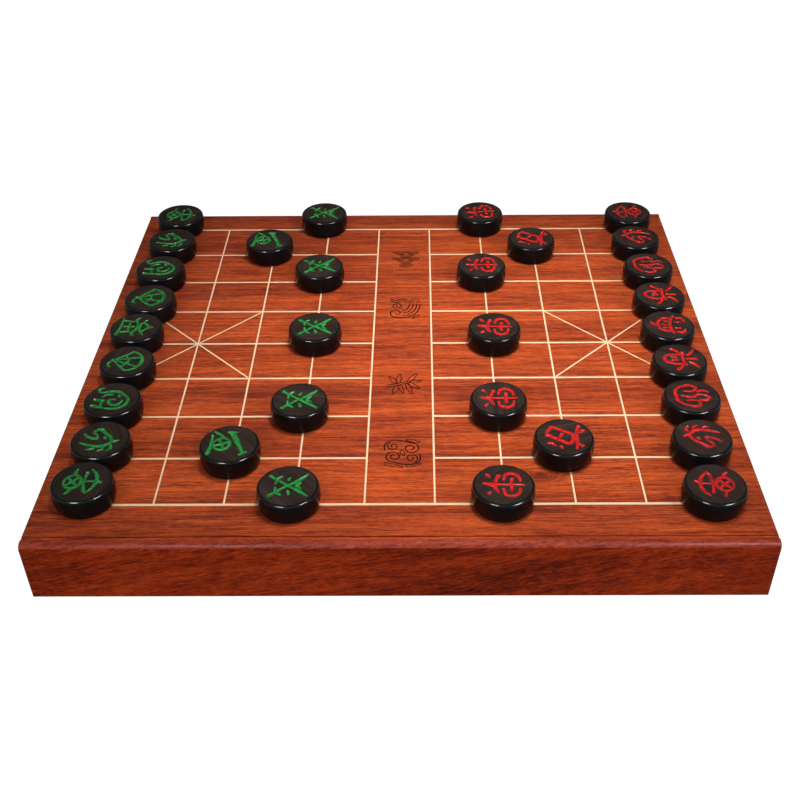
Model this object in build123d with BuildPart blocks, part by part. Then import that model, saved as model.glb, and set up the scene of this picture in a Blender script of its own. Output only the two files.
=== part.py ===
from build123d import *
import os

# Xiangqi box: a low case whose lid panel is the inlaid playing board, with a drawer for
# the pieces in each player's end and the thirty-two pieces set out for a game.
# Frame: +X from the green player to the red player, +Y away from the viewer, +Z up,
# origin on the floor under the middle of the case. All sizes are in millimetres.

# ---------------------------------------------------------------- driving dimensions
CELL = 50.0               # spacing of the board's lines, both ways
RANKS = 10                # lines that cross the board from front to back
FILES = 9                 # lines that run from player to player
GRID_SHIFT = 4.0          # the grid sits this far behind the middle of the case

BOX_LENGTH = 520.0        # along X
BOX_DEPTH = 474.0         # along Y
BOX_TOP = 51.0            # playing surface above the floor
PAD_PROUD = 0.5           # felt pads lift the case off the table by this much

TOP_THICKNESS = 8.0       # playing panel
TOP_END_ROUND = 1.2
SEAM = 0.3                # open joint between the panel and each long rail
RAIL_THICKNESS = 18.0     # long front and back boards
RAIL_LIP = 6.0            # strip of rail that frames the panel
REVEAL_WIDTH = 3.2        # shallow step along the panel's front edge, seen as a shadow line
REVEAL_DEPTH = 1.2
NOSE_RADIUS = 4.6         # round on the rail's upper outer edge
RAIL_FOOT_ROUND = 0.8
END_THICKNESS = 16.0      # board across each end
BOTTOM_THICKNESS = 4.0
BOTTOM_LAP = 8.0          # how far the bottom panel is let into rails and ends
BOTTOM_FIT = 0.3

INLAY_DEPTH = 2.0
BORDER_WIDTH = 2.3        # strips round the edge of the grid
FILE_WIDTH = 2.0          # strips that run along X
RANK_WIDTH = 1.4          # strips that run along Y
PALACE_WIDTH = 1.3        # diagonals of the two palaces
BUTT_GAP = 0.05           # hairline where a strip butts against another

WINDOW_WIDTH = 300.0      # drawer opening in each end board
WINDOW_BASE = 7.0
WINDOW_TOP = 36.0
DRAWER_GAP = 0.4          # reveal round the drawer front
DRAWER_RISE = 0.3         # drawer rides this far above the runner ledge
FRONT_THICKNESS = 14.0
SIDE_THICKNESS = 9.0
SIDE_HEIGHT = 26.7
SIDE_LAP = 8.0            # rabbet in the drawer front that takes each side
BACK_THICKNESS = 9.0
BACK_RISE = 7.0           # raised middle of the drawer back, which meets the stop
BACK_RISE_WIDTH = 220.0
TRAY_THICKNESS = 3.0      # drawer bottom
TRAY_HEIGHT = 2.0         # above the lower edge of the sides
TRAY_GROOVE = 4.0
LINING_THICKNESS = 1.0
NOTCH_RADIUS = 12.0       # finger notch in the drawer front

PARTITION_THICKNESS = 12.0
RUNNER_HEIGHT = 25.5
RUNNER_THICKNESS = 12.0
LEDGE_WIDTH = 10.0
STOP_WIDTH = 10.0
STOP_HEIGHT = 6.5
STOP_LENGTH = 200.0
DRAWER_TRAVEL = 190.0     # until the drawer back meets the stop

DOWEL_RADIUS = 3.0
DOWEL_LENGTH = 28.0
DOWEL_IN_RAIL = 13.0
HOLE_PLAY = 0.1           # extra radius and depth of a dowel or screw hole
DOWEL_HEIGHTS = (14.0, 31.0)
SCREW_RADIUS = 1.75
SCREW_HEAD_RADIUS = 3.5
SCREW_HEAD_HEIGHT = 1.8
SCREW_LENGTH = 14.0
SCREW_SPACING = 145.0
SCREWS_PER_RAIL = 4
PAD_RADIUS = 9.0
PAD_THICKNESS = 1.5

PIECE_HEIGHT = 17.6
PIECE_RADIUS = 22.5       # widest, at the belly
PIECE_FOOT_RADIUS = 20.9  # where the belly's arc would meet the board
PIECE_BROW_RADIUS = 21.7  # where the belly's arc would meet the top
PIECE_BELLY_HEIGHT = 8.6
PIECE_FOOT_EASE = 1.8     # eased lower edge
PIECE_BROW_EASE = 0.9     # eased upper edge

# ---------------------------------------------------------------- worked out
HALF_LENGTH = BOX_LENGTH / 2
HALF_DEPTH = BOX_DEPTH / 2
CASE_BASE = PAD_PROUD
PANEL_UNDERSIDE = BOX_TOP - TOP_THICKNESS
INNER_DEPTH = BOX_DEPTH - 2 * RAIL_THICKNESS
INNER_LENGTH = BOX_LENGTH - 2 * END_THICKNESS
FLOOR_TOP = CASE_BASE + BOTTOM_THICKNESS
GRID_LENGTH = (RANKS - 1) * CELL
GRID_DEPTH = (FILES - 1) * CELL
RUNNER_LEDGE = WINDOW_BASE - FLOOR_TOP

DRAWER_BASE = WINDOW_BASE + DRAWER_RISE
DRAWER_HALF_WIDTH = WINDOW_WIDTH / 2 - 0.6
DRAWER_INNER_HALF = DRAWER_HALF_WIDTH - SIDE_THICKNESS
DRAWER_BACK_X = PARTITION_THICKNESS / 2 + 0.4          # rear end of the drawer sides
FRONT_INNER_X = HALF_LENGTH - FRONT_THICKNESS
SIDE_TOP = DRAWER_BASE + SIDE_HEIGHT
TRAY_BASE = DRAWER_BASE + TRAY_HEIGHT
TRAY_TOP = TRAY_BASE + TRAY_THICKNESS
BACK_OUTER_X = DRAWER_BACK_X + BACK_THICKNESS
STOP_X = BACK_OUTER_X + DRAWER_TRAVEL + STOP_WIDTH / 2


def rank_x(rank: float) -> float:
    """X of a line that crosses the board; ranks count 0 to 9 from the green player."""
    return (rank - (RANKS - 1) / 2) * CELL


def file_y(file: float) -> float:
    """Y of a line that runs from player to player; files count 0 to 8 from the front."""
    return GRID_SHIFT + (file - (FILES - 1) / 2) * CELL


os.makedirs("parts", exist_ok=True)


def save(piece: BuildPart, label: str) -> None:
    """Label a finished sub-part and write it to its own file."""
    piece.part.label = label
    export_step(piece.part, f"parts/{label}.step")


# ---------------------------------------------------------------- places used by several parts
SCREW_XS = [(index - (SCREWS_PER_RAIL - 1) / 2) * SCREW_SPACING for index in range(SCREWS_PER_RAIL)]
SCREW_Y = HALF_DEPTH - RAIL_THICKNESS + BOTTOM_LAP / 2
SCREW_SPOTS = [(x, side * SCREW_Y) for side in (-1, 1) for x in SCREW_XS]
PAD_SPOTS = [(x, y) for x in (-222, 222) for y in (-198, 198)]
DOWEL_X = HALF_LENGTH - END_THICKNESS / 2
DOWEL_SPOTS = [(x, z) for x in (-DOWEL_X, DOWEL_X) for z in DOWEL_HEIGHTS]
RUNNER_FACE = WINDOW_WIDTH / 2


def runner_outline(side: int) -> None:
    """Draw the L section of a runner in the current sketch, on the side of Y given."""
    upright_y = side * (RUNNER_FACE + RUNNER_THICKNESS / 2)
    with Locations((upright_y, FLOOR_TOP + RUNNER_HEIGHT / 2)):
        Rectangle(RUNNER_THICKNESS, RUNNER_HEIGHT)
    ledge_y = side * (RUNNER_FACE - LEDGE_WIDTH / 2)
    with Locations((ledge_y, FLOOR_TOP + RUNNER_LEDGE / 2)):
        Rectangle(LEDGE_WIDTH, RUNNER_LEDGE)


# ---------------------------------------------------------------- long rails
def long_rail(side: int) -> BuildPart:
    """Front (side -1) or back (side 1) board: nosed top edge, rabbet for the panel, stopped
    rabbet for the bottom, and blind holes for the dowels and screws."""
    outer = side * HALF_DEPTH
    lip = outer - side * RAIL_LIP
    inner = outer - side * RAIL_THICKNESS
    nose = outer - side * NOSE_RADIUS
    with BuildPart() as rail:
        with BuildSketch(Plane.YZ.offset(-HALF_LENGTH)):
            with BuildLine():
                Line((outer, CASE_BASE), (outer, BOX_TOP - NOSE_RADIUS))
                RadiusArc((outer, BOX_TOP - NOSE_RADIUS), (nose, BOX_TOP), side * -NOSE_RADIUS)
                Polyline(
                    (nose, BOX_TOP),
                    (lip, BOX_TOP),
                    (lip, PANEL_UNDERSIDE),
                    (inner, PANEL_UNDERSIDE),
                    (inner, CASE_BASE),
                    (outer, CASE_BASE),
                )
            make_face()
        extrude(amount=BOX_LENGTH)
        foot = rail.edges().filter_by(Axis.X).group_by(Axis.Z)[0].sort_by(Axis.Y)
        fillet(foot[0] if side < 0 else foot[-1], RAIL_FOOT_ROUND)
        rabbet_y = inner + side * BOTTOM_LAP / 2
        with Locations((0, rabbet_y, CASE_BASE + BOTTOM_THICKNESS / 2)):
            Box(INNER_LENGTH + 2 * BOTTOM_LAP, BOTTOM_LAP, BOTTOM_THICKNESS, mode=Mode.SUBTRACT)
        with BuildSketch(Plane.XZ.offset(-inner)):
            with Locations(*DOWEL_SPOTS):
                Circle(DOWEL_RADIUS + HOLE_PLAY)
        extrude(amount=-side * (DOWEL_IN_RAIL + HOLE_PLAY), mode=Mode.SUBTRACT)
        with BuildSketch(Plane.XY.offset(FLOOR_TOP)):
            with Locations(*[(x, side * SCREW_Y) for x in SCREW_XS]):
                Circle(SCREW_RADIUS + HOLE_PLAY)
        extrude(amount=SCREW_LENGTH - BOTTOM_THICKNESS + HOLE_PLAY, mode=Mode.SUBTRACT)
    return rail


front_rail = long_rail(-1)
back_rail = long_rail(1)
save(front_rail, "front_rail")
save(back_rail, "back_rail")


# ---------------------------------------------------------------- end boards
def end_board(side: int) -> BuildPart:
    """Board across the left (-1) or right (1) end, with the drawer window cut through it."""
    centre_x = side * (HALF_LENGTH - END_THICKNESS / 2)
    with BuildPart() as board:
        with BuildSketch(Plane.YZ.offset(centre_x)):
            with Locations((0, (CASE_BASE + PANEL_UNDERSIDE) / 2)):
                Rectangle(INNER_DEPTH, PANEL_UNDERSIDE - CASE_BASE)
            with Locations((0, (WINDOW_BASE + WINDOW_TOP) / 2)):
                Rectangle(WINDOW_WIDTH, WINDOW_TOP - WINDOW_BASE, mode=Mode.SUBTRACT)
        extrude(amount=END_THICKNESS / 2, both=True)
        rabbet_x = side * (INNER_LENGTH + BOTTOM_LAP) / 2
        with Locations((rabbet_x, 0, CASE_BASE + BOTTOM_THICKNESS / 2)):
            Box(BOTTOM_LAP, INNER_DEPTH, BOTTOM_THICKNESS, mode=Mode.SUBTRACT)
        for wall in (-1, 1):
            with BuildSketch(Plane.XZ.offset(-wall * INNER_DEPTH / 2)):
                with Locations(*[(centre_x, z) for z in DOWEL_HEIGHTS]):
                    Circle(DOWEL_RADIUS + HOLE_PLAY)
            depth = DOWEL_LENGTH - DOWEL_IN_RAIL + HOLE_PLAY
            extrude(amount=wall * depth, mode=Mode.SUBTRACT)
    return board


save(end_board(-1), "left_end_board")
save(end_board(1), "right_end_board")


# ---------------------------------------------------------------- inlay, and the panel it is let into
def border_strips(gap: float) -> None:
    """Draw the four strips round the grid; the front and back ones run the full length."""
    with Locations((0, file_y(0)), (0, file_y(FILES - 1))):
        Rectangle(GRID_LENGTH + BORDER_WIDTH, BORDER_WIDTH)
    with Locations((rank_x(0), GRID_SHIFT), (rank_x(RANKS - 1), GRID_SHIFT)):
        Rectangle(BORDER_WIDTH, GRID_DEPTH - BORDER_WIDTH - 2 * gap)


def rank_strips(gap: float) -> None:
    """Draw the eight inner ranks, each one strip from border to border."""
    with Locations(*[(rank_x(rank), GRID_SHIFT) for rank in range(1, RANKS - 1)]):
        Rectangle(RANK_WIDTH, GRID_DEPTH - BORDER_WIDTH - 2 * gap)


def file_strips(gap: float) -> None:
    """Draw the seven inner files as lengths cut between the ranks, none across the river."""
    river = RANKS // 2 - 1
    for rank in range(RANKS - 1):
        if rank == river:
            continue
        start = rank_x(rank) + (BORDER_WIDTH if rank == 0 else RANK_WIDTH) / 2
        end = rank_x(rank + 1) - (BORDER_WIDTH if rank == RANKS - 2 else RANK_WIDTH) / 2
        with Locations(*[((start + end) / 2, file_y(file)) for file in range(1, FILES - 1)]):
            Rectangle(end - start - 2 * gap, FILE_WIDTH)


def palace_strips(gap: float) -> None:
    """Draw the crossed diagonals of both palaces, cut where the grid's lines pass."""
    centres = [(rank_x(1), file_y(4)), (rank_x(RANKS - 2), file_y(4))]
    with Locations(*centres):
        Rectangle(2 * CELL * 2**0.5, PALACE_WIDTH, rotation=45)
        Rectangle(2 * CELL * 2**0.5, PALACE_WIDTH, rotation=-45)
    for x, y in centres:
        with Locations((x, y - CELL), (x, y), (x, y + CELL)):
            Rectangle(2 * CELL + BORDER_WIDTH, FILE_WIDTH + 2 * gap, mode=Mode.SUBTRACT)
        with Locations((x - CELL, y), (x, y), (x + CELL, y)):
            Rectangle(BORDER_WIDTH + 2 * gap, 2 * CELL + BORDER_WIDTH, mode=Mode.SUBTRACT)


INLAY_PLANE = Plane.XY.offset(BOX_TOP)

with BuildPart() as border_inlay:
    with BuildSketch(INLAY_PLANE):
        border_strips(BUTT_GAP)
    extrude(amount=-INLAY_DEPTH)
save(border_inlay, "border_inlay")

with BuildPart() as grid_inlay:
    with BuildSketch(INLAY_PLANE):
        rank_strips(BUTT_GAP)
        file_strips(BUTT_GAP)
    extrude(amount=-INLAY_DEPTH)
save(grid_inlay, "grid_inlay")

with BuildPart() as palace_inlay:
    with BuildSketch(INLAY_PLANE):
        palace_strips(BUTT_GAP)
    extrude(amount=-INLAY_DEPTH)
save(palace_inlay, "palace_inlay")

with BuildPart() as top_panel:
    panel_depth = BOX_DEPTH - 2 * (RAIL_LIP + SEAM)
    with BuildSketch(Plane.XY.offset(PANEL_UNDERSIDE)):
        Rectangle(BOX_LENGTH, panel_depth)
    extrude(amount=TOP_THICKNESS)
    ends = top_panel.edges().filter_by(Axis.Y).group_by(Axis.Z)[-1]
    fillet(ends, TOP_END_ROUND)
    reveal_y = -(panel_depth - REVEAL_WIDTH) / 2
    with Locations((0, reveal_y, BOX_TOP - REVEAL_DEPTH / 2)):
        Box(BOX_LENGTH, REVEAL_WIDTH, REVEAL_DEPTH, mode=Mode.SUBTRACT)
    with BuildSketch(INLAY_PLANE):
        border_strips(0)
        rank_strips(0)
        file_strips(0)
    extrude(amount=-INLAY_DEPTH, mode=Mode.SUBTRACT)
    with BuildSketch(INLAY_PLANE):
        palace_strips(BUTT_GAP)
    extrude(amount=-INLAY_DEPTH, mode=Mode.SUBTRACT)
save(top_panel, "top_panel")

# ---------------------------------------------------------------- bottom, partition, runners, stops
with BuildPart() as bottom_panel:
    with BuildSketch(Plane.XY.offset(CASE_BASE)):
        length = INNER_LENGTH + 2 * (BOTTOM_LAP - BOTTOM_FIT)
        depth = INNER_DEPTH + 2 * (BOTTOM_LAP - BOTTOM_FIT)
        Rectangle(length, depth)
    extrude(amount=BOTTOM_THICKNESS)
    with BuildSketch(Plane.XY.offset(CASE_BASE)):
        with Locations(*PAD_SPOTS):
            Circle(PAD_RADIUS + HOLE_PLAY)
    extrude(amount=PAD_THICKNESS - PAD_PROUD, mode=Mode.SUBTRACT)
    screw_face = Plane(origin=(0, 0, CASE_BASE), x_dir=(1, 0, 0), z_dir=(0, 0, -1))
    with Locations(screw_face):
        with Locations(*SCREW_SPOTS):
            CounterSinkHole(SCREW_RADIUS + HOLE_PLAY, SCREW_HEAD_RADIUS + HOLE_PLAY, BOTTOM_THICKNESS)
save(bottom_panel, "bottom_panel")

with BuildPart() as centre_partition:
    with BuildSketch(Plane.YZ.offset(-PARTITION_THICKNESS / 2)):
        with Locations((0, (FLOOR_TOP + PANEL_UNDERSIDE) / 2)):
            Rectangle(INNER_DEPTH, PANEL_UNDERSIDE - FLOOR_TOP)
    extrude(amount=PARTITION_THICKNESS)
    for side in (-1, 1):
        with BuildSketch(Plane.YZ.offset(-PARTITION_THICKNESS / 2)):
            runner_outline(side)
        extrude(amount=PARTITION_THICKNESS, mode=Mode.SUBTRACT)
save(centre_partition, "centre_partition")


def runner(side: int) -> BuildPart:
    """L-shaped strip along the front (-1) or back (1) of both drawer bays."""
    with BuildPart() as strip:
        with BuildSketch(Plane.YZ.offset(-INNER_LENGTH / 2)):
            runner_outline(side)
        extrude(amount=INNER_LENGTH)
    return strip


save(runner(-1), "front_runner")
save(runner(1), "back_runner")

with BuildPart() as drawer_stops:
    with BuildSketch(Plane.XY.offset(PANEL_UNDERSIDE)):
        with Locations((-STOP_X, 0), (STOP_X, 0)):
            Rectangle(STOP_WIDTH, STOP_LENGTH)
    extrude(amount=-STOP_HEIGHT)
save(drawer_stops, "drawer_stops")

# ---------------------------------------------------------------- fasteners and feet
with BuildPart() as rail_dowels:
    for side in (-1, 1):
        end_y = side * (HALF_DEPTH - RAIL_THICKNESS + DOWEL_IN_RAIL)
        with BuildSketch(Plane.XZ.offset(-end_y)):
            with Locations(*DOWEL_SPOTS):
                Circle(DOWEL_RADIUS)
        extrude(amount=side * DOWEL_LENGTH)
save(rail_dowels, "rail_dowels")

with BuildPart() as bottom_screws:
    for spot in SCREW_SPOTS:
        with BuildSketch(Plane.XZ.offset(-spot[1])):
            with BuildLine():
                Polyline(
                    (spot[0], CASE_BASE),
                    (spot[0] + SCREW_HEAD_RADIUS, CASE_BASE),
                    (spot[0] + SCREW_RADIUS, CASE_BASE + SCREW_HEAD_HEIGHT),
                    (spot[0] + SCREW_RADIUS, CASE_BASE + SCREW_LENGTH - SCREW_HEAD_HEIGHT),
                    (spot[0], CASE_BASE + SCREW_LENGTH),
                    close=True,
                )
            make_face()
        revolve(axis=Axis((spot[0], spot[1], 0), (0, 0, 1)))
save(bottom_screws, "bottom_screws")

with BuildPart() as felt_pads:
    with BuildSketch(Plane.XY):
        with Locations(*PAD_SPOTS):
            Circle(PAD_RADIUS)
    extrude(amount=PAD_THICKNESS)
save(felt_pads, "felt_pads")


# ---------------------------------------------------------------- drawers
def drawer_front(side: int) -> BuildPart:
    """Flush front with a half-round finger notch, rabbets for the sides, groove for the tray."""
    outer_x = side * HALF_LENGTH
    base = WINDOW_BASE + DRAWER_GAP
    top = WINDOW_TOP - DRAWER_GAP
    with BuildPart() as front:
        with BuildSketch(Plane.YZ.offset(outer_x)):
            with Locations((0, (base + top) / 2)):
                Rectangle(WINDOW_WIDTH - 2 * DRAWER_GAP, top - base)
            with Locations((0, top)):
                Circle(NOTCH_RADIUS, mode=Mode.SUBTRACT)
        extrude(amount=-side * FRONT_THICKNESS)
        for wall in (-1, 1):
            rabbet_x = side * (FRONT_INNER_X + SIDE_LAP / 2)
            rabbet_y = wall * (DRAWER_INNER_HALF + SIDE_THICKNESS)
            with Locations((rabbet_x, rabbet_y, (base + top) / 2)):
                Box(SIDE_LAP, 2 * SIDE_THICKNESS, top - base, mode=Mode.SUBTRACT)
        with Locations((side * (FRONT_INNER_X + TRAY_GROOVE / 2), 0, (TRAY_BASE + TRAY_TOP) / 2)):
            Box(TRAY_GROOVE, 2 * DRAWER_INNER_HALF, TRAY_THICKNESS, mode=Mode.SUBTRACT)
        face_edges = front.faces().sort_by(Axis.X)[-1 if side > 0 else 0].edges()
        chamfer(face_edges, 0.5)
    return front


def drawer_side(side: int, wall: int) -> BuildPart:
    """Side board, rabbeted for the back and grooved for the tray."""
    front_x = side * (FRONT_INNER_X + SIDE_LAP)
    back_x = side * DRAWER_BACK_X
    centre_y = wall * (DRAWER_INNER_HALF + SIDE_THICKNESS / 2)
    with BuildPart() as board:
        with Locations(((front_x + back_x) / 2, centre_y, DRAWER_BASE + SIDE_HEIGHT / 2)):
            Box(abs(front_x - back_x), SIDE_THICKNESS, SIDE_HEIGHT)
        groove_y = wall * (DRAWER_INNER_HALF + TRAY_GROOVE / 2)
        with Locations(((front_x + back_x) / 2, groove_y, (TRAY_BASE + TRAY_TOP) / 2)):
            Box(abs(front_x - back_x), TRAY_GROOVE, TRAY_THICKNESS, mode=Mode.SUBTRACT)
        with Locations((back_x + side * BACK_THICKNESS / 2, groove_y, DRAWER_BASE + SIDE_HEIGHT / 2)):
            Box(BACK_THICKNESS, TRAY_GROOVE, SIDE_HEIGHT, mode=Mode.SUBTRACT)
        upper = board.edges().filter_by(Axis.X).group_by(Axis.Z)[-1]
        fillet(upper, 1.0)
    return board


def drawer_back(side: int) -> BuildPart:
    """Back board whose raised middle meets the stop when the drawer is fully out."""
    half = DRAWER_INNER_HALF + TRAY_GROOVE
    rise = BACK_RISE_WIDTH / 2
    with BuildPart() as board:
        with BuildSketch(Plane.YZ.offset(side * DRAWER_BACK_X)):
            with BuildLine():
                Polyline(
                    (-half, DRAWER_BASE),
                    (half, DRAWER_BASE),
                    (half, SIDE_TOP),
                    (rise + BACK_RISE, SIDE_TOP),
                    (rise, SIDE_TOP + BACK_RISE),
                    (-rise, SIDE_TOP + BACK_RISE),
                    (-rise - BACK_RISE, SIDE_TOP),
                    (-half, SIDE_TOP),
                    close=True,
                )
            make_face()
        extrude(amount=side * BACK_THICKNESS)
        with Locations((side * (BACK_OUTER_X - TRAY_GROOVE / 2), 0, (TRAY_BASE + TRAY_TOP) / 2)):
            Box(TRAY_GROOVE, 2 * half, TRAY_THICKNESS, mode=Mode.SUBTRACT)
    return board


def drawer_tray(side: int) -> BuildPart:
    """Thin bottom held in the grooves of front, sides and back."""
    front_x = FRONT_INNER_X + TRAY_GROOVE
    back_x = BACK_OUTER_X - TRAY_GROOVE
    with BuildPart() as tray:
        with BuildSketch(Plane.XY.offset(TRAY_BASE)):
            with Locations((side * (front_x + back_x) / 2, 0)):
                Rectangle(front_x - back_x, 2 * DRAWER_INNER_HALF)
            with Locations((side * (FRONT_INNER_X + BACK_OUTER_X) / 2, 0)):
                Rectangle(FRONT_INNER_X - BACK_OUTER_X, 2 * (DRAWER_INNER_HALF + TRAY_GROOVE))
        extrude(amount=TRAY_THICKNESS)
    return tray


def drawer_lining(side: int) -> BuildPart:
    """Felt sheet that covers the tray."""
    with BuildPart() as felt:
        with BuildSketch(Plane.XY.offset(TRAY_TOP)):
            with Locations((side * (FRONT_INNER_X + BACK_OUTER_X) / 2, 0)):
                Rectangle(FRONT_INNER_X - BACK_OUTER_X - 0.4, 2 * DRAWER_INNER_HALF - 0.4)
        extrude(amount=LINING_THICKNESS)
    return felt


for side, hand in ((-1, "left"), (1, "right")):
    save(drawer_front(side), f"{hand}_drawer_front")
    save(drawer_side(side, -1), f"{hand}_drawer_front_side")
    save(drawer_side(side, 1), f"{hand}_drawer_back_side")
    save(drawer_back(side), f"{hand}_drawer_back")
    save(drawer_tray(side), f"{hand}_drawer_tray")
    save(drawer_lining(side), f"{hand}_drawer_lining")


# ---------------------------------------------------------------- pieces
def playing_piece(x: float, y: float) -> BuildPart:
    """Turned disc with a flat top, a bellied side and eased upper and lower edges."""
    with BuildPart() as disc:
        with BuildSketch(Plane.XZ.offset(-y)):
            with BuildLine():
                Line((x, BOX_TOP), (x + PIECE_FOOT_RADIUS, BOX_TOP))
                ThreePointArc(
                    (x + PIECE_FOOT_RADIUS, BOX_TOP),
                    (x + PIECE_RADIUS, BOX_TOP + PIECE_BELLY_HEIGHT),
                    (x + PIECE_BROW_RADIUS, BOX_TOP + PIECE_HEIGHT),
                )
                Polyline(
                    (x + PIECE_BROW_RADIUS, BOX_TOP + PIECE_HEIGHT),
                    (x, BOX_TOP + PIECE_HEIGHT),
                    (x, BOX_TOP),
                )
            make_face()
        revolve(axis=Axis((x, y, 0), (0, 0, 1)))
        rims = disc.edges().filter_by(GeomType.CIRCLE).sort_by(Axis.Z)
        chamfer(rims[0], PIECE_FOOT_EASE)
        chamfer(rims[-1], PIECE_BROW_EASE)
    return disc


# Where each piece stands: name, rank line from its own player's edge, file line, and how far
# the hand that set it down left it from the crossing (toward +X, toward +Y).
GREEN_PIECES = (
    ("chariot_front", 0, 0, 1.0, 5.5),
    ("horse_front", 0, 1, 3.5, 2.0),
    ("elephant_front", 0, 2, 1.5, 0.5),
    ("advisor_front", 0, 3, 2.0, 1.0),
    ("general", 0, 4, -0.5, 0.5),
    ("advisor_back", 0, 5, 2.0, -3.0),
    ("elephant_back", 0, 6, 1.5, -2.0),
    ("horse_back", 0, 7, 3.0, 0.0),
    ("chariot_back", 0, 8, 2.5, 0.0),
    ("cannon_front", 2, 1, -0.5, -3.5),
    ("cannon_back", 2, 7, -3.5, -1.5),
    ("soldier_1", 3, 0, -3.0, 0.5),
    ("soldier_2", 3, 2, -3.5, -1.0),
    ("soldier_3", 3, 4, 1.0, 0.0),
    ("soldier_4", 3, 6, -2.0, 0.0),
    ("soldier_5", 3, 8, -4.5, 2.5),
)
RED_PIECES = (
    ("chariot_front", 0, 0, -4.0, 1.0),
    ("horse_front", 0, 1, -2.5, 2.0),
    ("elephant_front", 0, 2, 0.0, 2.0),
    ("advisor_front", 0, 3, 0.0, 0.5),
    ("general", 0, 4, 0.0, 0.5),
    ("advisor_back", 0, 5, 1.0, -2.0),
    ("elephant_back", 0, 6, 0.0, -1.0),
    ("horse_back", 0, 7, -3.0, 1.5),
    ("chariot_back", 0, 8, -3.0, 1.5),
    ("cannon_front", 2, 1, -4.0, 3.0),
    ("cannon_back", 2, 7, -3.0, 0.0),
    ("soldier_1", 3, 0, -2.0, 1.0),
    ("soldier_2", 3, 2, 0.5, 0.0),
    ("soldier_3", 3, 4, 3.0, -1.0),
    ("soldier_4", 3, 6, -3.0, 0.5),
    ("soldier_5", 3, 8, 0.5, 3.0),
)

for name, rank, file, off_x, off_y in GREEN_PIECES:
    save(playing_piece(rank_x(rank) + off_x, file_y(file) + off_y), f"green_{name}")
for name, rank, file, off_x, off_y in RED_PIECES:
    red_rank = RANKS - 1 - rank
    save(playing_piece(rank_x(red_rank) + off_x, file_y(file) + off_y), f"red_{name}")
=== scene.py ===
import logging
import math
import random
from collections.abc import Callable, Sequence
from dataclasses import dataclass
from enum import Enum

import bpy
from mathutils import Matrix, Vector


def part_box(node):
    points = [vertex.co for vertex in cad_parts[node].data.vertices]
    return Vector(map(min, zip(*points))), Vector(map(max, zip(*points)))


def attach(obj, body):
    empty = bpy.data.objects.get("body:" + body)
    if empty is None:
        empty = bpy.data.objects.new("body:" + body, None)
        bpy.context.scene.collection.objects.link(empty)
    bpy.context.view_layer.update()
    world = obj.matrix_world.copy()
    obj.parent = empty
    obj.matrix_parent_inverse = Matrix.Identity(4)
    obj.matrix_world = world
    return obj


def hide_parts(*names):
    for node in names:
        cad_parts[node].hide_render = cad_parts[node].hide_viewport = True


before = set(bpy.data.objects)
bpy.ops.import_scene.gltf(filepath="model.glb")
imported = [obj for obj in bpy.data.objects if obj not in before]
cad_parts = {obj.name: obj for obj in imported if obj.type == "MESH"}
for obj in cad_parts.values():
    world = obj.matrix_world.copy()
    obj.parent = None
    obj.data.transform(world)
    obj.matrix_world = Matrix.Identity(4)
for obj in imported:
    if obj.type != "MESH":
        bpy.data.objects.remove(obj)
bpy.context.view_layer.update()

"""Dresses the xiangqi box: an inlaid rosewood case with a drawer in each end, and thirty-two
turned ebony discs with carved and painted marks."""

LOG = logging.getLogger("xiangqi_box")
MM = 0.001
WHITE = (1.0, 1.0, 1.0, 1.0)

Colour = tuple[float, float, float]
Triple = tuple[float, float, float]
Stop = tuple[float, Colour]
Stroke = tuple[Triple, ...]
Feed = float | int | tuple | bpy.types.NodeSocket
Piece = bpy.types.Object


class Side(Enum):
    """The two long sides of the case, by their sign along Y."""

    FRONT = -1
    BACK = 1


class Hand(Enum):
    """The two ends of the case, by their sign along X."""

    LEFT = -1
    RIGHT = 1


class Axis(Enum):
    """The direction that a board's grain follows."""

    LENGTH = 0
    DEPTH = 1


class Army(Enum):
    """The two sets of discs, by the direction that the top of their marks points along X."""

    GREEN = 1
    RED = -1


class Rank(Enum):
    """The kinds of disc in a set."""

    CHARIOT = "chariot"
    HORSE = "horse"
    ELEPHANT = "elephant"
    ADVISOR = "advisor"
    GENERAL = "general"
    CANNON = "cannon"
    SOLDIER = "soldier"


def cells(axis: Axis, length: float, width: float) -> Triple:
    """Cells per metre for marks of this length along an axis and this width, in millimetres."""
    scale = [1000.0 / width] * 3
    scale[axis.value] = 1000.0 / length
    return tuple(scale)


# ------------------------------------------------------------------------------ node graphs


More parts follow.
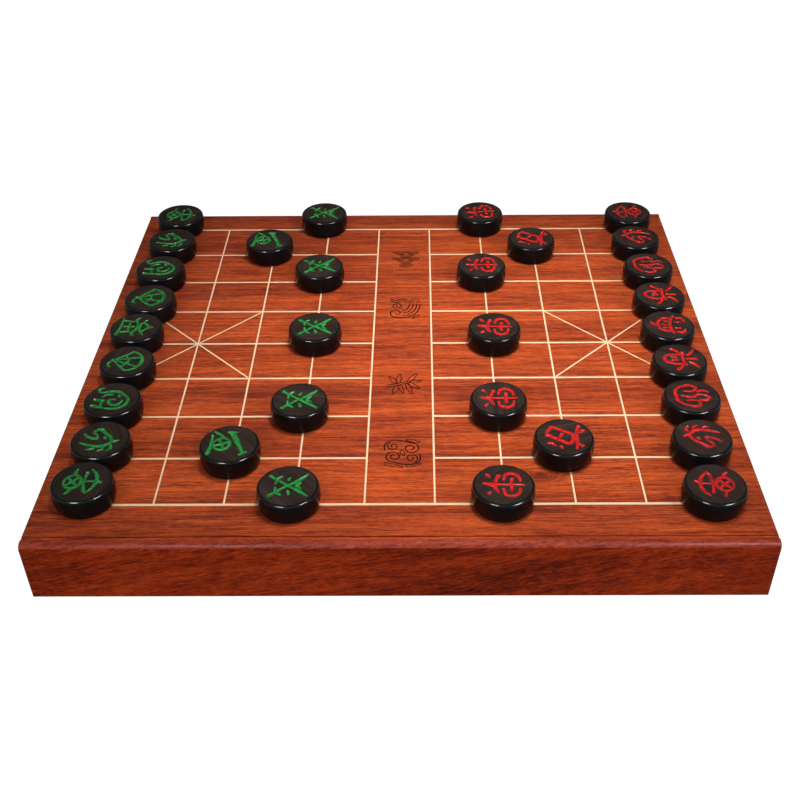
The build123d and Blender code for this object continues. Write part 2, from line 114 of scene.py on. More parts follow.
class NodeGraph:
    """The node tree of one material or world, with a short method for each kind of node used."""

    def __init__(self, owner: bpy.types.Material | bpy.types.World) -> None:
        """Empty a tree, to build it anew.

        Args:
            owner: the material or the world.
        """
        self.owner = owner
        owner.use_nodes = True
        self.tree = owner.node_tree
        self.tree.nodes.clear()

    def node(self, kind: str, feeds: dict[str | int, Feed], **settings: object) -> bpy.types.Node:
        """Add a node, set its options and feed its inputs.

        Args:
            kind: the node's type name.
            feeds: for each input, the socket that is linked to it or the value that it keeps.
            settings: the node's own options.

        Returns:
            The new node.
        """
        node = self.tree.nodes.new(kind)
        for option, value in settings.items():
            setattr(node, option, value)
        for key, feed in feeds.items():
            if isinstance(feed, bpy.types.NodeSocket):
                self.tree.links.new(feed, node.inputs[key])
            else:
                node.inputs[key].default_value = feed
        return node

    def place(self, shift: Triple = (0, 0, 0), turn: Triple = (0, 0, 0)) -> bpy.types.NodeSocket:
        """Read the piece's object coordinates, turned and shifted.

        Args:
            shift: added to the coordinates, in metres.
            turn: angles about X, Y and Z, in degrees.

        Returns:
            The vector socket.
        """
        coords = self.node("ShaderNodeTexCoord", {}).outputs["Object"]
        angles = tuple(math.radians(angle) for angle in turn)
        mapping = self.node("ShaderNodeMapping", {"Vector": coords, "Location": shift, "Rotation": angles})
        return mapping.outputs["Vector"]

    def attribute(self, name: str) -> bpy.types.NodeSocket:
        """Read a vector that the piece's own mesh stores under this name."""
        return self.node("ShaderNodeAttribute", {}, attribute_name=name).outputs["Vector"]

    def vectors(self, operation: str, first: Feed, second: Feed) -> bpy.types.NodeSocket:
        """Combine two vectors."""
        return self.node("ShaderNodeVectorMath", {0: first, 1: second}, operation=operation).outputs[0]

    def stretch(self, vector: bpy.types.NodeSocket, scale: Triple) -> bpy.types.NodeSocket:
        """Scale a vector by its axes."""
        return self.vectors("MULTIPLY", vector, scale)

    def add_weighted(self, first: Feed, second: Feed, weight: float) -> bpy.types.NodeSocket:
        """Add a weighted number to another."""
        return self.math("ADD", first, self.math("MULTIPLY", second, weight))

    def noise(self, vector: bpy.types.NodeSocket, scale: float = 1.0, detail: float = 2.0,
              roughness: float = 0.5) -> bpy.types.NodeSocket:
        """Add noise over a vector.

        Args:
            vector: where the noise is read.
            scale: cells per metre.
            detail: octaves.
            roughness: weight of the finer octaves.

        Returns:
            The value socket, about 0.5 on average.
        """
        feeds = {"Vector": vector, "Scale": scale, "Detail": detail, "Roughness": roughness}
        return self.node("ShaderNodeTexNoise", feeds).outputs["Fac"]

    def math(self, operation: str, first: Feed, second: Feed = 0.0) -> bpy.types.NodeSocket:
        """Combine two numbers."""
        return self.node("ShaderNodeMath", {0: first, 1: second}, operation=operation).outputs[0]

    def remap(self, value: Feed, low: float, high: float, new_low: float = 0.0,
              new_high: float = 1.0) -> bpy.types.NodeSocket:
        """Carry a range of values to another, and clamp to it.

        Args:
            value: the number to carry.
            low: lower end of the old range.
            high: upper end of the old range.
            new_low: what the lower end becomes.
            new_high: what the upper end becomes.

        Returns:
            The value socket.
        """
        feeds = {0: value, 1: low, 2: high, 3: new_low, 4: new_high}
        return self.node("ShaderNodeMapRange", feeds).outputs[0]

    def ramp(self, value: bpy.types.NodeSocket, stops: Sequence[Stop]) -> bpy.types.NodeSocket:
        """Turn a number into a colour.

        Args:
            value: the number, 0 to 1.
            stops: places and their linear colours, in rising order.

        Returns:
            The colour socket.
        """
        node = self.node("ShaderNodeValToRGB", {0: value})
        elements = node.color_ramp.elements
        while len(elements) < len(stops):
            elements.new(0.5)
        for element, (place, colour) in zip(elements, stops):
            element.position = place
            element.color = (*colour, 1.0)
        return node.outputs["Color"]

    def blend(self, amount: Feed, under: Feed, over: Feed, mode: str = "MIX") -> bpy.types.NodeSocket:
        """Mix two colours.

        Args:
            amount: share of the second colour, 0 to 1.
            under: the first colour.
            over: the second colour.
            mode: the blend type.

        Returns:
            The colour socket.
        """
        feeds = {0: amount, 6: under, 7: over}
        return self.node("ShaderNodeMix", feeds, data_type="RGBA", blend_type=mode).outputs[2]

    def bump(self, height: bpy.types.NodeSocket, strength: float, depth_mm: float) -> bpy.types.NodeSocket:
        """Raise a surface by a height value.

        Args:
            height: the value socket.
            strength: 0 to 1.
            depth_mm: height of a full step, in millimetres.

        Returns:
            The normal socket.
        """
        feeds = {"Height": height, "Strength": strength, "Distance": depth_mm * MM}
        return self.node("ShaderNodeBump", feeds).outputs["Normal"]

    def finish(self, feeds: dict[str, Feed]) -> bpy.types.Material:
        """Close the tree with a Principled shader.

        Args:
            feeds: the shader's inputs.

        Returns:
            The finished material.
        """
        shader = self.node("ShaderNodeBsdfPrincipled", feeds)
        self.node("ShaderNodeOutputMaterial", {"Surface": shader.outputs["BSDF"]})
        return self.owner


# ------------------------------------------------------------------------------ finishes


@dataclass(frozen=True)
class Rosewood:
    """Satin rosewood: slow bands, short dark streaks and open pores, all along one axis.

    Attributes:
        name: the material's name.
        stops: the wood's colours from its darkest streak to its brightest.
        axis: the direction of the grain.
        shift: moves the pattern, so that neighbouring boards differ.
        figure: layers of the grain, each a length, a width in millimetres and a weight.
        tilt: angle between the grain and the board, in degrees.
        wander: how far the grain drifts from side to side, in millimetres.
        roughness: middle value of the satin finish.
        gloss: specular level of the lacquer.
        knot: where the grain bows round a hidden knot, in millimetres.
    """

    name: str
    stops: tuple[Stop, ...]
    axis: Axis
    shift: Triple
    figure: tuple[Triple, ...]
    tilt: float = 0.0
    wander: float = 9.0
    roughness: float = 0.42
    gloss: float = 0.14
    knot: Triple | None = None

    def along(self, length: float, width: float) -> Triple:
        """Cells per metre for marks of this length and width in millimetres."""
        return cells(self.axis, length, width)

    def material(self) -> bpy.types.Material:
        """Build the wood's material."""
        graph = NodeGraph(bpy.data.materials.new(self.name))
        turn = (0, self.tilt, 0) if self.axis is Axis.LENGTH else (self.tilt, 0, 0)
        spot = graph.place(self.shift, turn)
        drift = graph.noise(graph.stretch(spot, self.along(330, 120)), detail=1.0)
        ripple = graph.noise(graph.stretch(spot, self.along(55, 24)), detail=2.0)
        sway = graph.math("ADD", graph.math("MULTIPLY", drift, self.wander * 2 * MM),
                          graph.math("MULTIPLY", ripple, self.wander * 0.35 * MM))
        tone = graph.remap(graph.noise(spot, scale=7.0, detail=1.0), 0.0, 1.0, 0.33, 0.67)
        if self.knot:
            near = self.near_knot(graph)
            sway = graph.add_weighted(sway, near, 8.0 * MM)
            tone = graph.math("SUBTRACT", tone, graph.math("MULTIPLY", near, 0.34))
        grain = graph.vectors("ADD", spot, sway)
        for length, width, weight in self.figure:
            layer = graph.noise(graph.stretch(grain, self.along(length, width)), detail=2.0, roughness=0.6)
            centred = graph.math("SUBTRACT", layer, 0.5)
            tone = graph.add_weighted(tone, centred, weight)
        colour = graph.ramp(tone, self.stops)
        streaks = graph.noise(graph.stretch(grain, self.along(26, 1.4)), detail=2.0)
        pores = graph.remap(graph.noise(graph.stretch(grain, self.along(6, 0.4)), detail=0.0), 0.64, 0.72)
        colour = graph.blend(graph.math("MULTIPLY", pores, 0.65), colour, (*self.stops[0][1], 1.0))
        height = graph.math("SUBTRACT", graph.math("MULTIPLY", streaks, 0.5), pores)
        rough = graph.remap(streaks, 0.3, 0.7, self.roughness + 0.06, self.roughness - 0.05)
        return graph.finish({
            "Base Color": colour,
            "Roughness": rough,
            "Specular IOR Level": self.gloss,
            "Normal": graph.bump(height, 0.25, 0.06),
        })

    def near_knot(self, graph: NodeGraph) -> bpy.types.NodeSocket:
        """Tell how near the knot a place is.

        Args:
            graph: the wood's node tree.

        Returns:
            A value that falls from 1 in the knot to 0 away from it.
        """
        middle = tuple(part * MM for part in self.knot)
        away = graph.stretch(graph.vectors("SUBTRACT", graph.place(), middle), (0.5, 1.0, 0.0))
        reach = graph.node("ShaderNodeVectorMath", {0: away}, operation="LENGTH").outputs["Value"]
        return graph.math("POWER", graph.remap(reach, 0.0, 11.0 * MM, 1.0, 0.0), 1.6)


@dataclass(frozen=True)
class PlainWood:
    """Quiet close-grained wood: inlay strips, drawer sides, plywood and dowels.

    Attributes:
        name: the material's name.
        pale: the lighter colour.
        deep: the darker colour.
        axis: the direction of the grain.
        streak: length and width of a streak, in millimetres.
        roughness: middle value.
        gloss: specular level.
        plies: thickness of one ply in millimetres, or none for solid wood.
    """

    name: str
    pale: Colour
    deep: Colour
    axis: Axis
    streak: tuple[float, float] = (26.0, 1.1)
    roughness: float = 0.5
    gloss: float = 0.3
    plies: float = 0.0

    def material(self) -> bpy.types.Material:
        """Build the wood's material."""
        graph = NodeGraph(bpy.data.materials.new(self.name))
        spot = graph.place((0.13, 0.37, 0.21))
        scale = cells(self.axis, *self.streak)
        fine = graph.noise(graph.stretch(spot, scale), detail=3.0, roughness=0.6)
        broad = graph.noise(graph.stretch(spot, tuple(part / 9 for part in scale)), detail=2.0)
        tone = graph.math("ADD", graph.math("MULTIPLY", fine, 0.65), graph.math("MULTIPLY", broad, 0.35))
        colour = graph.ramp(tone, ((0.3, self.deep), (0.62, self.pale)))
        if self.plies:
            height = graph.node("ShaderNodeSeparateXYZ", {0: spot}).outputs["Z"]
            ply = graph.math("PINGPONG", height, self.plies * MM)
            dark = tuple(0.55 * part for part in self.deep)
            colour = graph.blend(graph.remap(ply, 0.0, self.plies * MM, 0.0, 0.3), colour, (*dark, 1.0))
        return graph.finish({
            "Base Color": colour,
            "Roughness": graph.remap(fine, 0.3, 0.7, self.roughness + 0.07, self.roughness - 0.06),
            "Specular IOR Level": self.gloss,
            "Normal": graph.bump(fine, 0.2, 0.05),
        })


@dataclass(frozen=True)
class Ebony:
    """Black wood of the discs, either sanded matte or polished like glass.

    Attributes:
        name: the material's name.
        stops: the colours from the darkest line to the brownest.
        roughness: low for the polished side, high for the sanded top.
        gloss: specular level.
        relief: depth of the open grain, in millimetres.
        coat: share of clear wax over the wood.
    """

    name: str
    stops: tuple[Stop, ...]
    roughness: float
    gloss: float
    relief: float
    coat: float

    def material(self) -> bpy.types.Material:
        """Build the wood's material, on the coordinates of the disc's own blank."""
        graph = NodeGraph(bpy.data.materials.new(self.name))
        spot = graph.attribute("blank")
        drift = graph.math("MULTIPLY", graph.noise(graph.stretch(spot, (30, 60, 60))), 4.0 * MM)
        grain = graph.vectors("ADD", spot, drift)
        lines = graph.noise(graph.stretch(grain, (40, 1150, 900)), detail=2.0, roughness=0.6)
        bands = graph.noise(graph.stretch(grain, (12, 150, 120)), detail=2.0)
        pores = graph.remap(graph.noise(graph.stretch(grain, (260, 2600, 2600)), detail=0.0), 0.62, 0.72)
        tone = graph.math("ADD", graph.math("MULTIPLY", lines, 0.6), graph.math("MULTIPLY", bands, 0.4))
        colour = graph.ramp(tone, self.stops)
        height = graph.math("SUBTRACT", lines, graph.math("MULTIPLY", pores, 0.8))
        return graph.finish({
            "Base Color": colour,
            "Roughness": graph.remap(lines, 0.3, 0.7, self.roughness * 1.2, self.roughness * 0.85),
            "Specular IOR Level": self.gloss,
            "Coat Weight": self.coat,
            "Coat Roughness": 0.05,
            "Normal": graph.bump(height, 0.35, self.relief),
        })


@dataclass(frozen=True)
class CarvingPaint:
    """Thick gloss paint that lies in beads at the bottom of a carved line.

    Attributes:
        name: the material's name.
        bright: colour of the full coat.
        thin: colour where the coat is thin at the line's edge.
    """

    name: str
    bright: Colour
    thin: Colour

    def material(self) -> bpy.types.Material:
        """Build the paint's material."""
        graph = NodeGraph(bpy.data.materials.new(self.name))
        spot = graph.attribute("blank")
        beads = graph.noise(spot, scale=620.0, detail=1.0)
        speckle = graph.noise(spot, scale=1900.0, detail=1.0)
        colour = graph.ramp(beads, ((0.36, self.thin), (0.56, self.bright)))
        height = graph.add_weighted(beads, speckle, 0.3)
        return graph.finish({
            "Base Color": colour,
            "Roughness": graph.remap(beads, 0.35, 0.65, 0.3, 0.16),
            "Specular IOR Level": 0.8,
            "Coat Weight": 0.8,
            "Coat Roughness": 0.1,
            "Normal": graph.bump(height, 0.8, 0.4),
        })


@dataclass(frozen=True)
class BurntLine:
    """Dark scorched wood at the bottom of an engraved line.

    Attributes:
        name: the material's name.
        char: the darkest colour.
        brown: the colour at the line's edge.
    """

    name: str
    char: Colour
    brown: Colour

    def material(self) -> bpy.types.Material:
        """Build the material."""
        graph = NodeGraph(bpy.data.materials.new(self.name))
        grit = graph.noise(graph.place(), scale=1500.0, detail=2.0)
        colour = graph.ramp(grit, ((0.4, self.char), (0.66, self.brown)))
        return graph.finish({
            "Base Color": colour,
            "Roughness": graph.remap(grit, 0.3, 0.7, 0.9, 0.7),
            "Specular IOR Level": 0.1,
            "Normal": graph.bump(grit, 0.4, 0.1),
        })


@dataclass(frozen=True)
class Felt:
    """Pressed felt: a tangle of short fibres over soft lumps.

    Attributes:
        name: the material's name.
        low: colour between the fibres.
        high: colour of the fibres that catch the light.
    """

    name: str
    low: Colour
    high: Colour

    def material(self) -> bpy.types.Material:
        """Build the material."""
        graph = NodeGraph(bpy.data.materials.new(self.name))
        spot = graph.place()
        one_way = graph.noise(graph.stretch(spot, (700, 2600, 2600)), detail=2.0)
        other_way = graph.noise(graph.stretch(spot, (2600, 700, 2600)), detail=2.0)
        lumps = graph.noise(spot, scale=130.0, detail=2.0)
        fibres = graph.math("MAXIMUM", one_way, other_way)
        tone = graph.math("ADD", graph.math("MULTIPLY", fibres, 0.7), graph.math("MULTIPLY", lumps, 0.3))
        return graph.finish({
            "Base Color": graph.ramp(tone, ((0.4, self.low), (0.7, self.high))),
            "Roughness": graph.remap(fibres, 0.3, 0.8, 0.98, 0.86),
            "Specular IOR Level": 0.1,
            "Sheen Weight": 0.35,
            "Sheen Roughness": 0.5,
            "Normal": graph.bump(tone, 0.7, 0.25),
        })


@dataclass(frozen=True)
class ZincPlate:
    """Yellowish zinc on a screw, with the fine rings of its turning.

    Attributes:
        name: the material's name.
        bright: colour of the clean plating.
        dull: colour of its cloudy patches.
    """

    name: str
    bright: Colour
    dull: Colour

    def material(self) -> bpy.types.Material:
        """Build the material."""
        graph = NodeGraph(bpy.data.materials.new(self.name))
        spot = graph.place()
        cloud = graph.noise(spot, scale=420.0, detail=3.0)
        scratch = graph.noise(graph.stretch(spot, (900, 6000, 3000)), detail=2.0)
        return graph.finish({
            "Base Color": graph.ramp(cloud, ((0.35, self.dull), (0.6, self.bright))),
            "Metallic": 1.0,
            "Roughness": graph.remap(scratch, 0.3, 0.7, 0.45, 0.28),
            "Normal": graph.bump(scratch, 0.3, 0.03),
        })


TOP_STOPS: tuple[Stop, ...] = (
    (0.10, (0.105, 0.0190, 0.0130)),
    (0.32, (0.225, 0.0330, 0.0140)),
    (0.50, (0.365, 0.0545, 0.0145)),
    (0.68, (0.525, 0.0840, 0.0195)),
    (0.92, (0.670, 0.1250, 0.0320)),
)
# Deeper than the top: partly the rail wood's own tone, partly painted shade for upright faces that get less
# light from above. The end boards and drawer fronts share these colours.
RAIL_STOPS_WITH_PAINTED_SHADE: tuple[Stop, ...] = (
    (0.10, (0.048, 0.0040, 0.0010)),
    (0.32, (0.140, 0.0110, 0.0012)),
    (0.50, (0.250, 0.0205, 0.0015)),
    (0.68, (0.360, 0.0350, 0.0026)),
    (0.92, (0.490, 0.0600, 0.0070)),
)
# A lighter, pinker copy of the rail's colours: painted sheen on the rail's rounded nose.
LIP_PAINTED_SHEEN_STOPS: tuple[Stop, ...] = (
    (0.10, (0.085, 0.0100, 0.0050)),
    (0.32, (0.190, 0.0220, 0.0100)),
    (0.50, (0.310, 0.0380, 0.0180)),
    (0.68, (0.410, 0.0580, 0.0280)),
    (0.92, (0.520, 0.0900, 0.0480)),
)
# Each layer of a board's figure: length and width of a mark in millimetres, and its weight.
TOP_FIGURE: tuple[Triple, ...] = ((520.0, 30.0, 0.6), (110.0, 4.0, 0.7), (44.0, 1.4, 1.0), (8.0, 0.75, 0.8),
                                  (2.5, 0.5, 0.5))
RAIL_FIGURE: tuple[Triple, ...] = ((260.0, 34.0, 0.6), (60.0, 6.0, 0.5), (15.0, 1.7, 0.95), (4.5, 0.9, 0.9))


class Finishes:
    """Every material of the box, built once and shared by name."""

    def __init__(self) -> None:
        """Build the materials."""
        self.top = Rosewood("rosewood_top", TOP_STOPS, Axis.LENGTH, (0.31, 0.0, 0.4), TOP_FIGURE,
                            knot=(103.0, -168.0, 51.0)).material()
        # The rail, end and drawer colours below are partly the wood's own deeper tone and partly painted
        # shade on upright faces.
        self.rail = Rosewood("rosewood_rail", RAIL_STOPS_WITH_PAINTED_SHADE, Axis.LENGTH, (1.7, 0.6, 0.2), RAIL_FIGURE,
                             tilt=12.0, wander=24.0, roughness=0.5, gloss=0.05).material()
        # The lip: a lighter, pinker copy of the rail, painted sheen on the rounded nose.
        self.lip = Rosewood("rosewood_lip_painted_sheen", LIP_PAINTED_SHEEN_STOPS, Axis.LENGTH, (1.1, 0.3, 0.2), RAIL_FIGURE,
                            tilt=12.0, wander=24.0, roughness=0.36, gloss=0.35).material()
        self.end = Rosewood("rosewood_end", RAIL_STOPS_WITH_PAINTED_SHADE, Axis.DEPTH, (0.9, 2.3, 0.5), RAIL_FIGURE,
                            tilt=4.0, wander=14.0, roughness=0.5, gloss=0.08).material()
        self.drawer_face = Rosewood("rosewood_drawer", RAIL_STOPS_WITH_PAINTED_SHADE, Axis.DEPTH, (2.4, 1.1, 0.9), RAIL_FIGURE,
                                    tilt=-3.0, wander=16.0, roughness=0.5, gloss=0.08).material()
        pale, deep = (0.86, 0.63, 0.40), (0.77, 0.53, 0.31)
        self.inlay_length = PlainWood("maple_inlay_length", pale, deep, Axis.LENGTH).material()
        brown, dark_brown = (0.50, 0.29, 0.14), (0.34, 0.18, 0.08)
        self.inner_length = PlainWood("secondary_length", brown, dark_brown, Axis.LENGTH).material()
        self.inner_depth = PlainWood("secondary_depth", brown, dark_brown, Axis.DEPTH).material()
        self.plywood = PlainWood("plywood", (0.62, 0.42, 0.23), (0.47, 0.29, 0.14), Axis.LENGTH,
                                 streak=(60.0, 3.0), roughness=0.6, plies=1.3).material()
        black = ((0.3, (0.0040, 0.0042, 0.0046)), (0.7, (0.0070, 0.0070, 0.0074)))
        self.ebony_side = Ebony("ebony_waxed", black, roughness=0.24, gloss=0.13, relief=0.004,
                                coat=0.0).material()
        self.ebony_rim = Ebony("ebony_polished", black, roughness=0.2, gloss=0.9, relief=0.0,
                               coat=1.0).material()
        self.ebony_top = Ebony("ebony_sanded", ((0.32, (0.015, 0.009, 0.0075)), (0.5, (0.029, 0.018, 0.0145)),
                                                (0.68, (0.055, 0.035, 0.028))),
                               roughness=0.55, gloss=0.2, relief=0.04, coat=0.0).material()
        self.green_paint = CarvingPaint("carving_green", (0.026, 0.320, 0.060),
                                        (0.008, 0.130, 0.024)).material()
        self.red_paint = CarvingPaint("carving_red", (0.700, 0.018, 0.014), (0.300, 0.006, 0.006)).material()
        self.burnt = BurntLine("burnt_line", (0.010, 0.004, 0.003), (0.050, 0.014, 0.008)).material()
        self.lining = Felt("lining_felt", (0.010, 0.010, 0.011), (0.040, 0.040, 0.044)).material()
        self.pad = Felt("pad_felt", (0.012, 0.012, 0.012), (0.045, 0.045, 0.045)).material()
        self.zinc = ZincPlate("zinc_screw", (0.68, 0.64, 0.50), (0.46, 0.43, 0.33)).material()

    def paint(self, army: Army) -> bpy.types.Material:
        """The paint in an army's marks."""
        return self.green_paint if army is Army.GREEN else self.red_paint


# ------------------------------------------------------------------------------ hand tools


class Bench:
    """Hand tools: each shapes a mesh with Blender's own operators."""

    @staticmethod
    def clear() -> None:
        """Leave edit mode and deselect everything."""
        if bpy.context.object and bpy.context.object.mode != "OBJECT":
            bpy.ops.object.mode_set(mode="OBJECT")
        bpy.ops.object.select_all(action="DESELECT")

    @staticmethod
    def use(piece: Piece) -> None:
        """Make a piece the only selected one, and active."""
        Bench.clear()
        piece.select_set(True)
        bpy.context.view_layer.objects.active = piece

    @staticmethod
    def named(name: str) -> Piece:
        """Name the piece that was just added, and put its place in its mesh."""
        piece = bpy.context.object
        piece.name = name
        piece.data.name = name
        bpy.ops.object.transform_apply(location=True, rotation=True, scale=True)
        return piece

    @staticmethod
    def block(name: str, low: Triple, high: Triple) -> Piece:
        """Saw a block between two corners.

        Args:
            name: the block's name.
            low: its lowest corner, in millimetres.
            high: its highest corner, in millimetres.

        Returns:
            The block.
        """
        Bench.clear()
        centre = (Vector(low) + Vector(high)) * 0.5 * MM
        size = (Vector(high) - Vector(low)) * MM
        bpy.ops.mesh.primitive_cube_add(size=1.0, location=centre, scale=size)
        return Bench.named(name)

    @staticmethod
    def drum(name: str, radius: float, low: float, high: float, spot: tuple[float, float],
             sides: int) -> Piece:
        """Turn an upright cylinder.

        Args:
            name: the cylinder's name.
            radius: in millimetres.
            low: height of its lower face, in millimetres.
            high: height of its upper face, in millimetres.
            spot: its centre along X and Y, in millimetres.
            sides: how many sides it has.

        Returns:
            The cylinder.
        """
        Bench.clear()
        centre = Vector((spot[0], spot[1], (low + high) / 2)) * MM
        bpy.ops.mesh.primitive_cylinder_add(vertices=sides, radius=radius * MM, depth=(high - low) * MM,
                                            location=centre)
        return Bench.named(name)

    @staticmethod
    def pick_edges(piece: Piece, wanted: Callable[[Vector, Vector], bool]) -> int:
        """Select edges by the places of their two ends, and stay in edit mode.

        Args:
            piece: the piece to select on.
            wanted: tells from both ends, in millimetres, whether an edge is wanted.

        Returns:
            How many edges were selected.
        """
        Bench.use(piece)
        bpy.ops.object.mode_set(mode="EDIT")
        bpy.ops.mesh.select_mode(type="EDGE")
        bpy.ops.mesh.select_all(action="DESELECT")
        bpy.ops.object.mode_set(mode="OBJECT")
        points = [vertex.co / MM for vertex in piece.data.vertices]
        count = 0
        for edge in piece.data.edges:
            edge.select = wanted(points[edge.vertices[0]], points[edge.vertices[1]])
            count += edge.select
        bpy.ops.object.mode_set(mode="EDIT")
        return count

    @staticmethod
    def ease(piece: Piece, wanted: Callable[[Vector, Vector], bool], width: float, steps: int = 3) -> None:
        """Round chosen edges.

        Args:
            piece: the piece to shape.
            wanted: tells from both ends, in millimetres, whether an edge is rounded.
            width: how far the round reaches, in millimetres.
            steps: facets of the round.
        """
        if Bench.pick_edges(piece, wanted):
            bpy.ops.mesh.bevel(offset=width * MM, offset_type="OFFSET", segments=steps, profile=0.5,
                               affect="EDGES", clamp_overlap=True)
        bpy.ops.object.mode_set(mode="OBJECT")

    @staticmethod
    def cut(piece: Piece, cutter: Piece) -> None:
        """Take a cutter's shape away from a piece, and throw the cutter away."""
        Bench.use(piece)
        boolean = piece.modifiers.new("cut", "BOOLEAN")
        boolean.operation = "DIFFERENCE"
        boolean.solver = "EXACT"
        boolean.material_mode = "TRANSFER"
        boolean.object = cutter
        bpy.ops.object.modifier_apply(modifier=boolean.name)
        scrap = cutter.data
        bpy.data.objects.remove(cutter)
        bpy.data.meshes.remove(scrap)

    @staticmethod
    def tidy(piece: Piece, angle: float = 30.0) -> None:
        """Merge doubles, turn every face outwards, and shade rounds smooth, level faces flat.

        Args:
            piece: the piece to finish.
            angle: edges sharper than this, in degrees, stay sharp.
        """
        Bench.use(piece)
        bpy.ops.object.mode_set(mode="EDIT")
        bpy.ops.mesh.select_mode(type="VERT")
        bpy.ops.mesh.select_all(action="SELECT")
        bpy.ops.mesh.remove_doubles(threshold=0.002 * MM)
        bpy.ops.mesh.normals_make_consistent(inside=False)
        bpy.ops.object.mode_set(mode="OBJECT")
        bpy.ops.object.shade_smooth_by_angle(angle=math.radians(angle))
        for face in piece.data.polygons:
            face.use_smooth = abs(face.normal.z) < 0.9999

    @staticmethod
    def brush_stroke(name: str, stroke: Stroke, flat: float, sides: int = 3) -> Piece:
        """Make the solid that a carving stroke takes away: a tube along the stroke, pressed flat.

        Args:
            name: the solid's name.
            stroke: points of the stroke, each with half its width, in millimetres. It is closed
                where the last point is the first one again.
            flat: the tube's height as a share of its width.
            sides: resolution of the tube.

        Returns:
            The solid, lying along Z = 0.
        """
        Bench.clear()
        bpy.ops.curve.primitive_bezier_curve_add()
        line = bpy.context.object
        curve = line.data
        curve.dimensions = "3D"
        curve.resolution_u = 8
        curve.bevel_depth = MM
        curve.bevel_resolution = sides
        curve.use_fill_caps = True
        closed = stroke[0] == stroke[-1]
        points = stroke[:-1] if closed else rounded(stroke)
        spline = curve.splines[0]
        spline.bezier_points.add(len(points) - 2)
        spline.use_cyclic_u = closed
        for point, (x, y, half) in zip(spline.bezier_points, points):
            point.co = (x * MM, y * MM, 0)
            point.radius = half
            point.handle_left_type = point.handle_right_type = "AUTO"
        bpy.ops.object.convert(target="MESH")
        solid = Bench.named(name)
        bpy.ops.object.mode_set(mode="EDIT")
        bpy.ops.mesh.select_all(action="SELECT")
        bpy.ops.mesh.remove_doubles(threshold=0.001 * MM)
        bpy.ops.transform.resize(value=(1, 1, flat), center_override=(0, 0, 0))
        bpy.ops.mesh.normals_make_consistent(inside=False)
        bpy.ops.object.mode_set(mode="OBJECT")
        return solid


def dress(node: str, material: bpy.types.Material) -> None:
    """Give a CAD node that stays a new material."""
    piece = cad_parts[node]
    piece.data.materials.clear()
    piece.data.materials.append(material)


def join_frame(piece: Piece, body: str, slot: str, *nodes: str) -> None:
    """Let a new piece ride on a body in place of CAD nodes.

    Args:
        piece: the new piece.
        body: the body that it moves with.
        slot: not used.
        nodes: the CAD nodes that it stands for.
    """
    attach(piece, body)
    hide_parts(*nodes)


# ------------------------------------------------------------------------------ drawn lines


def rounded(stroke: Stroke) -> Stroke:
    """Give both ends of a stroke the round tip that a brush or a gouge leaves.

    Args:
        stroke: the stroke.

    Returns:
        The stroke with a narrow point added at each end.
    """
    tips = []
    for (x, y, half), (next_x, next_y, _) in ((stroke[0], stroke[1]), (stroke[-1], stroke[-2])):
        way = Vector((x - next_x, y - next_y)).normalized() * half * 0.7
        tips.append((x + way.x, y + way.y, half * 0.35))
    return (tips[0], *stroke, tips[1])


def spiral(centre: tuple[float, float], radius: float, start: float, sweep: float, half: float = 0.45,
           shrink: float = 0.78) -> Stroke:
    """Draw a curl that winds in towards its centre.

    Args:
        centre: the middle of the curl, in millimetres.
        radius: its outer radius, in millimetres.
        start: the angle where it begins, in degrees.
        sweep: how far it turns, in degrees; positive is counter-clockwise.
        half: half the line's width, in millimetres.
        shrink: share of the radius that is lost on the way.

    Returns:
        The stroke.
    """
    steps = max(5, round(abs(sweep) / 40))
    points = []
    for step in range(steps + 1):
        share = step / steps
        angle = math.radians(start + sweep * share)
        reach = radius * (1.0 - shrink * share)
        points.append((centre[0] + reach * math.cos(angle), centre[1] + reach * math.sin(angle), half))
    return tuple(points)


def ring(centre: tuple[float, float], wide: float, high: float, half: float) -> Stroke:
    """Draw a closed ring, a little heavier on one side as a brush leaves it."""
    angles = [2 * math.pi * corner / 8 for corner in range(8)]
    points = [(centre[0] + wide * math.cos(angle), centre[1] + high * math.sin(angle),
               half * (1.0 + 0.28 * math.sin(angle + 0.8))) for angle in angles]
    return (*points, points[0])


def leaf(stem: tuple[float, float], tip: tuple[float, float], belly: float, half: float = 0.42) -> Stroke:
    """Draw the closed outline of a narrow leaf.

    Args:
        stem: where the leaf begins, in millimetres.
        tip: where it ends.
        belly: half its greatest width.
        half: half the line's width.

    Returns:
        The stroke.
    """
    root, way = Vector(stem), Vector(tip) - Vector(stem)
    out = Vector((-way.y, way.x)).normalized() * belly
    path = (root, root + way * 0.35 + out, root + way * 0.75 + out * 0.6, root + way,
            root + way * 0.75 - out * 0.6, root + way * 0.35 - out, root)
    return tuple((spot.x, spot.y, half) for spot in path)


def scale_row(*centres: tuple[float, float]) -> tuple[Stroke, ...]:
    """Draw the nested arcs of a wave scale at each centre."""
    radii = (6.2, 4.1, 2.0)
    return tuple(spiral(centre, radius, 8, 164, shrink=0.0) for centre in centres for radius in radii)


